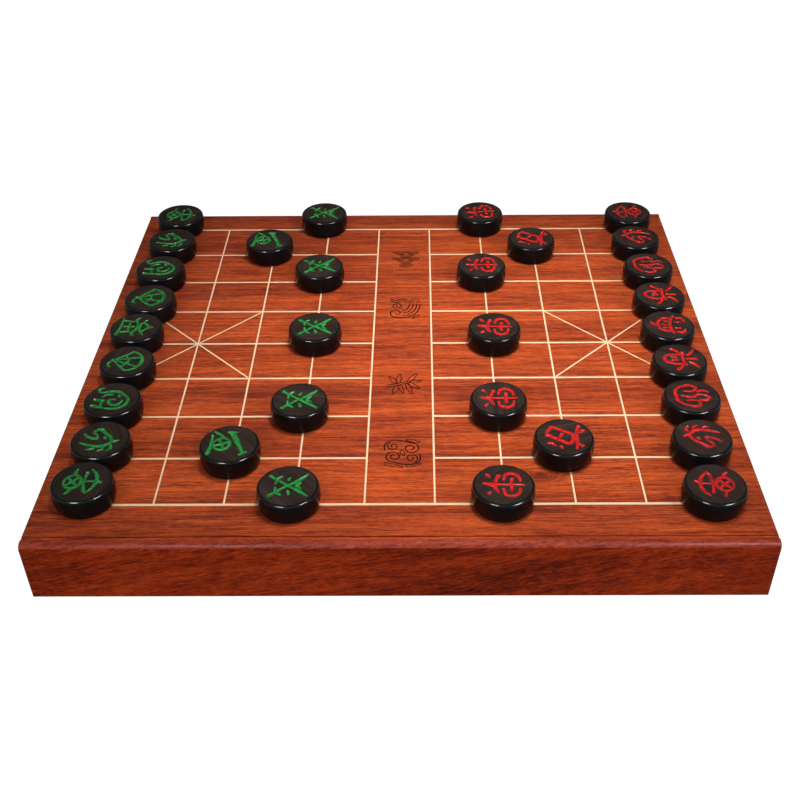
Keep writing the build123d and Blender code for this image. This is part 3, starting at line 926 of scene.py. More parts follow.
CLOUD: tuple[Stroke, ...] = (
    spiral((-6.4, -4.2), 6.6, -80, -560),
    spiral((6.4, 5.0), 6.6, 100, -560),
    spiral((6.8, -6.4), 5.0, -60, 470),
    spiral((-7.0, 7.6), 4.8, 120, 470),
    ((-6.8, -10.8, 0.4), (1.4, -13.2, 0.5), (9.0, -12.8, 0.5), (13.2, -8.0, 0.5), (13.0, -1.6, 0.4)),
    ((6.4, 11.8, 0.4), (-1.4, 14.0, 0.5), (-9.4, 13.8, 0.5), (-13.4, 9.0, 0.5), (-13.2, 3.0, 0.4)),
    leaf((-13.4, -12.4), (0.6, -16.4), 1.5),
    leaf((3.0, -15.6), (14.0, -12.2), 1.3),
    leaf((-1.0, 2.6), (1.4, -3.2), 1.6),
    leaf((2.8, 15.2), (13.2, 12.0), 1.4),
)
BAMBOO: tuple[Stroke, ...] = (
    ((-14.0, -4.0, 0.4), (-8.0, -2.4, 0.5), (-2.0, -0.6, 0.5), (3.0, 1.6, 0.4)),
    ((-14.0, -1.6, 0.4), (-8.4, -0.2, 0.5), (-2.4, 1.6, 0.5), (2.4, 3.4, 0.4)),
    leaf((3.4, 2.8), (10.4, 14.4), 1.9),
    leaf((4.4, 2.4), (14.0, 4.4), 1.7),
    leaf((3.6, 1.2), (12.8, -6.6), 2.0),
    leaf((2.2, 0.6), (6.4, -13.6), 1.9),
    leaf((-5.0, 1.4), (-3.4, 13.6), 2.0),
    leaf((-6.2, 1.2), (-12.2, 10.4), 1.8),
    leaf((-5.4, -2.4), (-8.6, -13.4), 1.9),
    leaf((-3.6, -1.8), (-0.4, -12.2), 1.6),
)
WAVE: tuple[Stroke, ...] = (
    ((-13.4, -7.6, 0.4), (-11.8, 2.4, 0.5), (-5.0, 11.4, 0.5), (4.6, 14.6, 0.5), (11.8, 10.8, 0.5),
     (12.4, 4.8, 0.5), (7.6, 2.4, 0.5), (4.4, 5.4, 0.45), (6.4, 8.6, 0.4), (9.0, 7.0, 0.4)),
    ((-10.4, -8.4, 0.4), (-9.0, 0.8, 0.5), (-3.8, 8.2, 0.5), (1.6, 10.8, 0.4)),
    ((-7.4, -9.0, 0.4), (-6.0, -0.6, 0.5), (-1.8, 5.0, 0.5), (1.6, 6.6, 0.4)),
    ((-4.4, -9.2, 0.4), (-3.0, -2.6, 0.5), (0.0, 1.8, 0.5), (2.6, 2.6, 0.4)),
    spiral((6.4, -5.0), 5.6, 140, -540),
    ((-13.4, -11.2, 0.4), (-8.4, -13.4, 0.5), (-3.0, -11.0, 0.5), (2.4, -13.4, 0.5), (8.0, -11.0, 0.5),
     (13.4, -13.4, 0.4)),
    ((-13.4, -14.4, 0.4), (-8.4, -16.4, 0.5), (-3.0, -14.2, 0.5), (2.4, -16.4, 0.5), (8.0, -14.2, 0.5),
     (13.4, -16.4, 0.4)),
    leaf((-12.4, 9.4), (-6.8, 15.4), 1.2),
)
SCALES: tuple[Stroke, ...] = scale_row((-6.5, -14.5), (6.5, -14.5), (0.0, -8.6), (-6.5, -2.7), (6.5, -2.7),
                                       (0.0, 3.2), (0.0, 9.6))
# Where each engraved ornament lies on the panel: its lines, its centre, and its turn in degrees.
RIVER_SCROLLS: tuple[tuple[tuple[Stroke, ...], tuple[float, float], float], ...] = (
    (CLOUD, (1.4, -140.0), 0.0),
    (BAMBOO, (1.9, -54.3), 0.0),
    (WAVE, (1.9, 57.5), 180.0),
    (SCALES, (2.1, 146.0), 180.0),
)

CHARIOT: tuple[Stroke, ...] = (
    ((-12.2, 5.2, 0.8), (-7.6, 9.0, 1.3), (-0.5, 10.6, 1.5), (7.0, 8.8, 1.2), (12.4, 4.6, 0.8)),
    ((1.4, 14.0, 1.5), (0.2, 10.6, 1.0), (0.0, 3.0, 1.0)),
    ((-9.6, 2.6, 1.4), (-2.0, 2.0, 0.9), (5.0, 2.4, 1.0), (10.2, 3.8, 1.7)),
    ring((0.2, -6.4), 6.8, 6.0, 1.15),
    ((-4.8, -10.6, 0.8), (0.2, -6.4, 1.4), (4.8, -2.2, 0.9)),
    ((4.6, -10.8, 0.8), (0.2, -6.4, 1.4), (-4.6, -2.2, 0.9)),
    ((-13.0, -5.0, 0.7), (-9.2, -6.2, 1.3), (-7.0, -6.4, 0.9)),
    ((7.0, -6.4, 0.9), (10.0, -6.8, 1.5), (13.0, -9.2, 0.7)),
)
HORSE: tuple[Stroke, ...] = (
    ((0.0, 14.0, 0.7), (1.8, 11.0, 1.6), (2.6, 8.6, 1.2)),
    ((2.2, 9.6, 1.2), (-3.4, 6.6, 1.3), (-7.6, 1.4, 1.4), (-11.0, -2.2, 2.0)),
    ((-11.2, -4.4, 1.5), (-7.4, -6.6, 1.1), (-3.8, -3.6, 1.0), (0.2, -2.6, 1.6)),
    ((0.0, -3.0, 1.2), (-0.6, -7.8, 1.5), (-4.6, -13.4, 0.8)),
    ((3.0, 9.2, 1.3), (7.4, 4.4, 1.7), (8.2, -3.2, 1.5), (5.6, -13.6, 0.9)),
    ((5.4, 9.4, 0.8), (9.4, 10.6, 1.5), (12.6, 8.2, 0.6)),
    ((8.2, 4.8, 0.8), (11.4, 4.8, 1.5), (13.6, 1.8, 0.6)),
    ((8.8, -1.2, 0.8), (11.4, -2.4, 1.4), (12.8, -6.4, 0.6)),
    ((-2.8, 2.4, 1.1), (-0.9, 3.4, 1.6)),
)
ELEPHANT: tuple[Stroke, ...] = (
    ((-5.6, 8.4, 0.9), (0.0, 12.6, 1.4), (7.0, 11.6, 1.5), (11.6, 5.6, 1.5), (11.8, -2.0, 1.2)),
    ((1.6, 8.6, 1.0), (6.2, 6.4, 1.5), (6.6, 0.6, 1.5), (1.8, -1.6, 1.1), (0.4, 2.6, 0.8)),
    ((-5.4, 8.2, 1.2), (-8.8, 3.6, 1.7), (-9.0, -4.2, 1.6), (-7.2, -10.4, 1.3), (-10.4, -13.2, 1.3),
     (-13.4, -10.0, 0.7)),
    ((-5.4, -1.2, 1.5), (-4.6, -5.6, 1.2), (-1.0, -8.2, 0.6)),
    ((-4.8, 4.2, 1.2), (-3.4, 5.0, 1.5)),
    ((2.8, -5.2, 1.1), (2.2, -13.2, 1.8)),
    ((11.4, -3.4, 1.1), (9.6, -13.4, 1.8)),
    ((2.6, -6.0, 0.8), (7.0, -6.8, 1.2), (10.8, -6.0, 0.9)),
)
TUSKER: tuple[Stroke, ...] = (
    ((-11.8, 6.6, 1.0), (-6.6, 11.2, 1.5), (0.2, 12.2, 1.6), (7.4, 11.4, 1.5), (12.2, 6.2, 1.0)),
    ((-11.6, 5.4, 1.2), (-13.4, -0.8, 1.7), (-8.8, -4.4, 1.3), (-5.2, 0.6, 1.0), (-5.8, 5.0, 0.9)),
    ((11.8, 5.2, 1.2), (13.2, -1.2, 1.7), (8.6, -4.6, 1.3), (5.4, 0.6, 1.0), (6.0, 5.0, 0.9)),
    ((0.4, 8.0, 1.0), (-1.4, 1.0, 1.8), (1.2, -6.4, 1.5), (-2.4, -13.6, 1.1)),
    ((-4.8, -5.0, 1.2), (-6.4, -9.4, 1.4), (-3.0, -13.2, 0.6)),
    ((4.8, -5.0, 1.2), (6.6, -9.4, 1.4), (4.0, -13.4, 0.6)),
)
FAN: tuple[Stroke, ...] = (
    ((-13.2, 1.6, 1.1), (-9.6, 8.4, 1.3), (-1.0, 12.4, 1.7), (8.4, 9.8, 1.3), (13.4, 2.4, 1.0)),
    ((-7.4, -2.6, 0.8), (0.0, 1.6, 1.3), (7.6, -2.2, 0.8)),
    ((-0.8, -9.6, 0.8), (-6.2, -4.4, 1.0), (-11.8, 1.4, 1.2)),
    ((-0.4, -9.2, 0.7), (-3.4, 0.8, 1.0), (-5.6, 9.4, 1.3)),
    ((0.5, -9.2, 0.7), (3.6, 0.6, 1.0), (6.4, 9.2, 1.3)),
    ((0.9, -9.6, 0.8), (6.6, -4.8, 1.0), (12.0, 1.0, 1.3)),
    ((-0.9, -11.2, 1.6), (1.0, -11.6, 1.7)),
    ((2.4, -12.6, 0.8), (5.8, -13.8, 1.4), (9.2, -11.2, 0.6)),
)
COURT_HAT: tuple[Stroke, ...] = (
    ((-6.2, -1.2, 1.2), (-5.8, 6.0, 1.4), (-1.4, 11.8, 1.5), (4.4, 11.0, 1.4), (6.4, 5.6, 1.3),
     (6.2, -1.0, 1.2)),
    ((-7.4, -1.0, 1.1), (-10.4, 0.6, 1.3), (-14.0, 4.4, 1.7)),
    ((7.4, -1.0, 1.1), (10.6, 0.4, 1.3), (14.2, 3.8, 1.8)),
    ((-8.2, -3.4, 1.5), (0.0, -2.4, 1.1), (8.6, -4.0, 1.8)),
    ((-1.2, 7.0, 1.0), (-0.4, 1.8, 1.5)),
    ((2.6, 6.4, 0.9), (2.6, 2.6, 1.2)),
    ((-4.6, -6.6, 1.0), (-7.6, -10.0, 1.6), (-12.6, -12.8, 0.7)),
    ((4.6, -6.8, 1.0), (7.8, -10.2, 1.5), (12.4, -13.4, 0.9)),
    ((0.0, -5.6, 1.2), (-0.4, -13.6, 1.6)),
)
PAVILION: tuple[Stroke, ...] = (
    ((0.4, 14.4, 1.0), (0.0, 11.2, 1.6)),
    ((-10.6, 7.6, 0.7), (-7.6, 5.8, 1.3), (-3.2, 8.6, 1.2), (0.0, 10.6, 1.5), (3.4, 8.8, 1.2),
     (8.0, 6.0, 1.3), (11.0, 8.2, 0.7)),
    ((-5.6, 4.0, 1.2), (0.0, 3.6, 0.9), (6.2, 4.4, 1.5)),
    ((-13.4, 0.6, 0.7), (-10.0, -1.6, 1.4), (-4.6, 0.6, 1.2), (0.0, 1.4, 1.2), (5.0, 0.6, 1.2),
     (10.4, -1.6, 1.4), (13.8, 1.0, 0.7)),
    ((-7.4, -4.0, 1.2), (-8.2, -10.8, 1.6)),
    ((7.4, -4.0, 1.1), (8.4, -10.8, 1.7)),
    ((0.0, -1.2, 1.0), (0.2, -10.4, 1.3)),
    ((-4.8, -6.2, 0.9), (4.8, -5.8, 1.2)),
    ((-12.6, -13.4, 1.2), (0.0, -12.8, 1.1), (12.6, -13.8, 1.9)),
)
HELMET: tuple[Stroke, ...] = (
    ((2.6, 14.2, 0.8), (-0.6, 11.6, 1.8), (0.0, 8.6, 1.2)),
    ((-9.6, -1.4, 1.3), (-8.6, 4.4, 1.5), (-4.6, 7.8, 1.4), (0.0, 8.6, 1.5), (4.8, 7.8, 1.4),
     (8.8, 4.2, 1.5), (9.8, -1.6, 1.3)),
    ((-13.0, -4.4, 1.0), (-5.0, -1.8, 1.5), (5.0, -1.8, 1.4), (13.2, -4.8, 1.8)),
    ((0.0, 5.6, 1.0), (0.0, 1.0, 1.4)),
    ((-4.6, 4.0, 0.9), (-5.0, 0.6, 1.2)),
    ((4.6, 4.0, 0.9), (5.0, 0.6, 1.2)),
    ((-10.2, -6.6, 1.2), (-10.8, -11.0, 1.7), (-5.4, -13.8, 0.8)),
    ((10.2, -6.8, 1.2), (10.8, -11.0, 1.7), (5.4, -13.8, 0.8)),
    ((-4.6, -5.6, 1.0), (-4.4, -10.0, 1.4)),
    ((4.6, -5.6, 1.0), (4.4, -10.0, 1.4)),
)
FIELD_GUN: tuple[Stroke, ...] = (
    ((-11.8, 0.6, 2.0), (-4.0, 4.8, 2.2), (3.6, 8.6, 1.6), (10.4, 11.8, 1.4)),
    ((8.8, 14.2, 0.9), (12.4, 9.6, 1.3)),
    ((-13.0, 4.2, 0.7), (-12.6, -2.4, 1.4)),
    ring((1.0, -5.4), 6.6, 6.0, 1.15),
    ((-4.4, -8.0, 0.8), (1.0, -5.4, 1.5), (6.6, -3.0, 0.9)),
    ((-1.6, -0.4, 0.8), (1.0, -5.4, 1.5), (3.4, -10.6, 0.8)),
    ((-6.4, -4.6, 1.1), (-9.8, -8.4, 1.4), (-13.0, -13.2, 0.8)),
    ((-8.6, -13.6, 0.9), (2.0, -13.0, 1.2), (12.4, -13.8, 1.7)),
)
MORTAR: tuple[Stroke, ...] = (
    ((-7.4, -2.6, 1.5), (-3.4, 5.0, 1.6), (0.4, 11.6, 1.7)),
    ((3.6, -5.4, 1.5), (7.0, 1.2, 1.6), (10.0, 8.0, 1.5)),
    ((-0.6, 13.2, 1.1), (5.2, 12.4, 1.1), (10.8, 9.0, 1.6)),
    ((-7.8, -4.2, 1.2), (-2.8, -6.8, 1.8), (3.6, -6.2, 1.2)),
    ((-12.8, -9.2, 1.1), (-4.0, -9.8, 1.4), (6.0, -9.0, 1.3), (13.0, -10.6, 1.9)),
    ((-7.2, -10.8, 1.1), (-9.6, -13.8, 1.6)),
    ((6.0, -10.8, 1.1), (8.6, -13.8, 1.6)),
    ((-11.0, 5.6, 0.8), (-8.8, 8.8, 1.6), (-8.8, 11.8, 0.8)),
    ((-13.4, 0.8, 0.8), (-11.2, 2.6, 1.5)),
    ((-1.0, 3.4, 1.0), (3.6, 1.2, 1.4)),
)
CROSSED_BLADES: tuple[Stroke, ...] = (
    ((-10.4, -13.0, 1.5), (-4.6, -6.0, 1.0), (0.0, 0.0, 1.2), (6.4, 8.8, 1.7), (11.0, 14.0, 0.7)),
    ((10.6, -12.8, 1.5), (4.6, -6.0, 1.0), (0.0, 0.0, 1.2), (-6.4, 8.8, 1.7), (-11.2, 13.6, 0.7)),
    ((-9.8, -4.4, 0.9), (-6.4, -7.6, 1.6), (-1.6, -8.6, 0.9)),
    ((9.8, -4.4, 0.9), (6.4, -7.6, 1.6), (1.8, -8.8, 0.9)),
    ((-2.8, 9.4, 0.8), (0.2, 6.4, 1.6), (3.4, 9.6, 0.8)),
    ((-8.4, 1.4, 0.7), (-5.6, 0.2, 1.4)),
    ((5.6, 0.2, 1.0), (8.8, 1.4, 1.5)),
)
SPEAR_AND_SHIELD: tuple[Stroke, ...] = (
    ((0.8, 14.2, 0.7), (-0.2, 9.4, 2.0), (0.0, 3.0, 1.0), (0.2, -13.8, 1.3)),
    ((-8.4, 3.6, 0.8), (-3.6, 5.8, 1.6), (4.0, 5.4, 1.2), (9.2, 3.4, 1.8)),
    ((-4.6, 0.2, 1.0), (-10.8, -2.6, 1.6), (-10.4, -9.0, 1.6), (-3.8, -11.8, 1.0)),
    ((4.6, 0.0, 1.0), (11.0, -3.0, 1.6), (10.4, -9.2, 1.6), (3.8, -12.0, 1.0)),
    ((-5.6, -5.8, 1.5), (0.0, -5.4, 1.1), (5.8, -6.2, 1.6)),
    ((7.0, 9.4, 0.8), (9.8, 11.8, 1.8)),
    ((-7.4, 8.6, 0.7), (-9.8, 10.6, 1.4)),
)

MARKS: dict[tuple[Army, Rank], tuple[Stroke, ...]] = {
    (Army.GREEN, Rank.CHARIOT): CHARIOT,
    (Army.GREEN, Rank.HORSE): HORSE,
    (Army.GREEN, Rank.ELEPHANT): ELEPHANT,
    (Army.GREEN, Rank.ADVISOR): FAN,
    (Army.GREEN, Rank.GENERAL): PAVILION,
    (Army.GREEN, Rank.CANNON): FIELD_GUN,
    (Army.GREEN, Rank.SOLDIER): CROSSED_BLADES,
    (Army.RED, Rank.CHARIOT): CHARIOT,
    (Army.RED, Rank.HORSE): HORSE,
    (Army.RED, Rank.ELEPHANT): TUSKER,
    (Army.RED, Rank.ADVISOR): COURT_HAT,
    (Army.RED, Rank.GENERAL): HELMET,
    (Army.RED, Rank.CANNON): MORTAR,
    (Army.RED, Rank.SOLDIER): SPEAR_AND_SHIELD,
}


# ------------------------------------------------------------------------------ the case


@dataclass
class Case:
    """The fixed part of the box.

    Attributes:
        finishes: the materials.
        half_length: half the length, in millimetres.
        half_depth: half the depth.
        base: underside of the rails above the floor.
        top: the playing surface above the floor.
        panel_under: underside of the panel above the floor.
        rail: thickness of a long rail.
        lip: strip of rail that frames the panel.
        painted_sheen_line: height above which a rail has the polish of the lip, and its lighter, pinker
            colour, which is painted sheen on the nose.
        nose: round on a rail's upper outer edge.
        foot: round on a rail's lower outer edge.
        arris: ease on the other edges of a rail.
        end: thickness of an end board.
        lap: how far the bottom is let in.
        bottom: thickness of the bottom.
        scroll_lift: how far an engraving tube's centre lies above the panel.
        scroll_weight: how much heavier the engraved lines are cut than drawn, but for closed ones.
    """

    finishes: Finishes
    half_length: float = 260.0
    half_depth: float = 237.0
    base: float = 0.5
    top: float = 51.0
    panel_under: float = 43.0
    rail: float = 18.0
    lip: float = 6.0
    painted_sheen_line: float = 48.2
    nose: float = 4.6
    foot: float = 0.8
    arris: float = 0.35
    end: float = 16.0
    lap: float = 8.0
    bottom: float = 4.0
    scroll_lift: float = 0.05
    scroll_weight: float = 1.25

    def build(self) -> None:
        """Build and dress every piece of the case."""
        for side in Side:
            self.build_rail(side)
        self.build_panel()
        self.dress_inlay()
        self.dress_carcase()

    def build_rail(self, side: Side) -> None:
        """Shape a long rail: nosed edge, rabbet for the panel and stopped rabbet for the bottom.

        Args:
            side: front or back.
        """
        name = f"{side.name.lower()}_rail_board"
        sign = side.value
        outer, inner = sign * self.half_depth, sign * (self.half_depth - self.rail)
        low, high = min(outer, inner), max(outer, inner)
        rail = Bench.block(name, (-self.half_length, low, self.base), (self.half_length, high, self.top))

        def lengthwise(a: Vector, b: Vector, height: float) -> bool:
            """Whether an edge runs along X on the outer face at this height."""
            along = abs(a.y - b.y) < 0.01 and abs(a.z - b.z) < 0.01
            return along and abs(a.y - outer) < 0.01 and abs(a.z - height) < 0.01

        Bench.ease(rail, lambda a, b: lengthwise(a, b, self.top), self.nose, steps=12)
        Bench.ease(rail, lambda a, b: lengthwise(a, b, self.base), self.foot, steps=4)
        Bench.ease(rail, lambda a, b: abs(abs(a.x) - self.half_length) < 0.01 and abs(a.x - b.x) < 0.01
                   and max(abs(a.y), abs(b.y)) > self.half_depth - self.nose - 0.1, self.arris, steps=2)
        lip_face = sign * (self.half_depth - self.lip)
        rabbet_low, rabbet_high = sorted((inner - sign * 2.0, lip_face))
        Bench.cut(rail, Bench.block("panel_rabbet", (-self.half_length - 5, rabbet_low, self.panel_under),
                                    (self.half_length + 5, rabbet_high, self.top + 5)))
        reach = self.half_length - self.end + self.lap
        groove_low, groove_high = sorted((inner - sign * 2.0, inner + sign * self.lap))
        Bench.cut(rail, Bench.block("bottom_rabbet", (-reach, groove_low, self.base - 2),
                                    (reach, groove_high, self.base + self.bottom)))
        rail.data.materials.clear()
        rail.data.materials.append(self.finishes.rail)
        rail.data.materials.append(self.finishes.lip)
        Bench.tidy(rail)
        # Faces above the line take the lip's lighter, pinker colour, painted sheen on the nose; the rest keep
        # the rail's deeper colour, which is partly painted shade.
        for face in rail.data.polygons:
            face.material_index = int(face.center.z > self.painted_sheen_line * MM)
        join_frame(rail, "case", "rosewood_rail", f"{side.name.lower()}_rail")
        LOG.info("%s shaped", name)

    def build_panel(self) -> None:
        """Copy the grooved panel, merge its loose triangles and engrave the scrolls between the halves."""
        Bench.clear()
        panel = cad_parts["top_panel"].copy()
        panel.data = panel.data.copy()
        panel.parent = None
        panel.name = panel.data.name = "playing_panel"
        bpy.context.collection.objects.link(panel)
        panel.data.materials.clear()
        panel.data.materials.append(self.finishes.top)
        panel.data.materials.append(self.finishes.burnt)
        Bench.use(panel)
        bpy.ops.object.mode_set(mode="EDIT")
        bpy.ops.mesh.select_mode(type="VERT")
        bpy.ops.mesh.select_all(action="SELECT")
        bpy.ops.mesh.remove_doubles(threshold=0.002 * MM)
        bpy.ops.mesh.dissolve_limited(angle_limit=math.radians(1.0))
        bpy.ops.object.mode_set(mode="OBJECT")
        for strokes, spot, turn in RIVER_SCROLLS:
            place = Matrix.Translation(Vector((*spot, self.top + self.scroll_lift)) * MM)
            place @= Matrix.Rotation(math.radians(turn), 4, "Z")
            for stroke in strokes:
                weight = 1.0 if stroke[0] == stroke[-1] else self.scroll_weight
                heavier = tuple((x, y, half * weight) for x, y, half in stroke)
                cutter = Bench.brush_stroke("graver", heavier, flat=0.9)
                cutter.data.materials.append(self.finishes.burnt)
                cutter.data.transform(place)
                Bench.cut(panel, cutter)
        Bench.tidy(panel)
        join_frame(panel, "case", "rosewood_top", "top_panel")
        LOG.info("playing_panel engraved")

    def dress_inlay(self) -> None:
        """Give the inlay strips their pale wood."""
        for node in ("border_inlay", "grid_inlay", "palace_inlay"):
            dress(node, self.finishes.inlay_length)
        LOG.info("inlay dressed")

    def dress_carcase(self) -> None:
        """Give the boards that stay as the CAD made them their woods, felt and plating."""
        choices = {
            "left_end_board": self.finishes.end,
            "right_end_board": self.finishes.end,
            "bottom_panel": self.finishes.plywood,
            "centre_partition": self.finishes.inner_depth,
            "front_runner": self.finishes.inner_length,
            "back_runner": self.finishes.inner_length,
            "drawer_stops": self.finishes.inner_depth,
            "rail_dowels": self.finishes.inner_depth,
            "bottom_screws": self.finishes.zinc,
            "felt_pads": self.finishes.pad,
        }
        for node, material in choices.items():
            dress(node, material)
            LOG.info("%s dressed", node)


# ------------------------------------------------------------------------------ the drawers


@dataclass
class Drawer:
    """One drawer, opened from an end of the case.

    Attributes:
        finishes: the materials.
        hand: the end that it opens at.
    """

    finishes: Finishes
    hand: Hand

    def build(self) -> None:
        """Dress every piece of the drawer."""
        prefix = f"{self.hand.name.lower()}_drawer"
        choices = {
            "front": self.finishes.drawer_face,
            "front_side": self.finishes.inner_length,
            "back_side": self.finishes.inner_length,
            "back": self.finishes.inner_depth,
            "tray": self.finishes.plywood,
            "lining": self.finishes.lining,
        }
        for part, material in choices.items():
            dress(f"{prefix}_{part}", material)
        LOG.info("%s dressed", prefix)


# ------------------------------------------------------------------------------ the discs


@dataclass
class DiscSet:
    """The thirty-two turned discs: one blank, a mark for each kind, and a copy for each place.

    Attributes:
        finishes: the materials.
        height: thickness of a disc, in millimetres.
        foot_radius: radius where the belly's arc would meet the board.
        belly_radius: widest radius.
        belly_height: height of the widest place.
        brow_radius: radius where the belly's arc would meet the top.
        foot_round: ease on the lower edge.
        brow_round: round on the upper edge.
        sides: facets round the disc.
        rings: cuts up the side.
        groove: height of a carving tube as a share of its width.
        groove_lift: how far the tube's centre lies above the top.
        soldiers: soldiers in each army.
        grain_shift: how far apart the discs were cut from the wood, in metres.
        hand_turn: how far a mark may stand askew, in degrees.
    """

    finishes: Finishes
    height: float = 17.6
    foot_radius: float = 20.9
    belly_radius: float = 22.5
    belly_height: float = 8.6
    brow_radius: float = 21.7
    foot_round: float = 1.8
    brow_round: float = 1.7
    sides: int = 96
    rings: int = 9
    groove: float = 0.62
    groove_lift: float = 0.06
    soldiers: int = 5
    grain_shift: float = 0.5
    hand_turn: float = 7.0

    def build(self) -> None:
        """Carve one disc of each kind and set a copy of it at every place of that kind."""
        dice = random.Random(7)
        blank = self.turn_blank()
        for (army, rank), strokes in MARKS.items():
            carved = self.carve(blank, army, rank, strokes)
            for node in self.places(army, rank):
                self.set_down(carved, army, node, dice)
            self.discard(carved)
            LOG.info("%s %s carved and set down", army.name.lower(), rank.value)
        self.discard(blank)

    def places(self, army: Army, rank: Rank) -> list[str]:
        """List the CAD nodes that a kind of disc stands for.

        Args:
            army: the disc's army.
            rank: the disc's kind.

        Returns:
            The node names.
        """
        stem = f"{army.name.lower()}_{rank.value}"
        if rank is Rank.GENERAL:
            return [stem]
        if rank is Rank.SOLDIER:
            return [f"{stem}_{count}" for count in range(1, self.soldiers + 1)]
        return [f"{stem}_front", f"{stem}_back"]

    def side_radius(self, height: float) -> float:
        """Radius of the bellied side at a height: the circle through foot, belly and brow.

        Args:
            height: above the board, in millimetres.

        Returns:
            The radius, in millimetres.
        """
        foot, belly, brow = ((self.foot_radius, 0.0), (self.belly_radius, self.belly_height),
                             (self.brow_radius, self.height))
        rows = []
        for (ax, az), (bx, bz) in ((foot, belly), (belly, brow)):
            rows.append((2 * (bx - ax), 2 * (bz - az), bx**2 - ax**2 + bz**2 - az**2))
        (a, b, e), (c, d, f) = rows
        det = a * d - b * c
        centre_x, centre_z = (e * d - b * f) / det, (a * f - e * c) / det
        reach = math.hypot(foot[0] - centre_x, foot[1] - centre_z)
        return centre_x + math.sqrt(reach**2 - (height - centre_z)**2)

    def turn_blank(self) -> Piece:
        """Turn the plain disc at the origin: a drum cut into rings, each drawn to the belly's arc.

        Returns:
            The blank, with its waxed side, sanded faces and polished rim.
        """
        blank = Bench.drum("disc_blank", self.belly_radius, 0.0, self.height, (0, 0), self.sides)
        Bench.pick_edges(blank, lambda a, b: abs(a.z - b.z) > 1.0)
        bpy.ops.mesh.subdivide(number_cuts=self.rings, quadcorner="STRAIGHT_CUT")
        bpy.ops.object.mode_set(mode="OBJECT")
        for step in range(self.rings + 2):
            level = self.height * step / (self.rings + 1)
            Bench.pick_edges(blank, lambda a, b: abs(a.z - level) < 0.01 and abs(b.z - level) < 0.01)
            share = self.side_radius(level) / self.belly_radius
            bpy.ops.transform.resize(value=(share, share, 1), center_override=(0, 0, level * MM))
            bpy.ops.object.mode_set(mode="OBJECT")
        Bench.ease(blank, lambda a, b: min(a.z, b.z) > self.height - 0.01, self.brow_round, steps=6)
        Bench.ease(blank, lambda a, b: max(a.z, b.z) < 0.01, self.foot_round, steps=4)
        for material in (self.finishes.ebony_side, self.finishes.ebony_top, self.finishes.ebony_rim):
            blank.data.materials.append(material)
        for face in blank.data.polygons:
            on_rim = face.center.z > (self.height - self.brow_round) * MM
            face.material_index = 1 if len(face.vertices) > 8 else 2 if on_rim else 0
        return blank

    def carve(self, blank: Piece, army: Army, rank: Rank, strokes: tuple[Stroke, ...]) -> Piece:
        """Carve a mark into a copy of the blank, and paint it.

        Args:
            blank: the plain disc.
            army: gives the paint.
            rank: gives the name.
            strokes: the mark, drawn upright.

        Returns:
            The carved disc, still at the origin with its mark upright.
        """
        Bench.clear()
        disc = blank.copy()
        disc.data = blank.data.copy()
        disc.name = f"{army.name.lower()}_{rank.value}_pattern"
        bpy.context.collection.objects.link(disc)
        paint = self.finishes.paint(army)
        disc.data.materials.append(paint)
        lift = Matrix.Translation(Vector((0, 0, self.height + self.groove_lift)) * MM)
        for stroke in strokes:
            cutter = Bench.brush_stroke("gouge", stroke, flat=self.groove)
            cutter.data.materials.append(paint)
            cutter.data.transform(lift)
            Bench.cut(disc, cutter)
        Bench.tidy(disc, angle=38.0)
        return disc

    def set_down(self, carved: Piece, army: Army, node: str, dice: random.Random) -> None:
        """Copy a carved disc to its place on the board.

        Args:
            carved: the carved disc at the origin.
            army: gives the direction of the mark.
            node: the CAD node that the copy stands for.
            dice: gives the small turn that the player's hand leaves.
        """
        disc = carved.copy()
        disc.data = carved.data.copy()
        disc.name = disc.data.name = f"{node}_disc"
        bpy.context.collection.objects.link(disc)
        shift = Vector([dice.uniform(-self.grain_shift, self.grain_shift) for _ in range(3)])
        grain = Matrix.Translation(shift) @ Matrix.Rotation(dice.uniform(0, math.pi), 4, "Z")
        blank = disc.data.attributes.new("blank", "FLOAT_VECTOR", "POINT")
        for value, vertex in zip(blank.data, disc.data.vertices):
            value.vector = grain @ vertex.co
        low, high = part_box(node)
        middle = (low + high) / 2
        turn = math.radians(-90 * army.value + dice.uniform(-self.hand_turn, self.hand_turn))
        disc.data.transform(Matrix.Translation((middle.x, middle.y, low.z)) @ Matrix.Rotation(turn, 4, "Z"))
        join_frame(disc, f"{node}_piece", f"ebony_{army.name.lower()}", node)

    @staticmethod
    def discard(piece: Piece) -> None:
        """Throw a pattern away."""
        scrap = piece.data
        bpy.data.objects.remove(piece)
        bpy.data.meshes.remove(scrap)


# ------------------------------------------------------------------------------ studio and camera


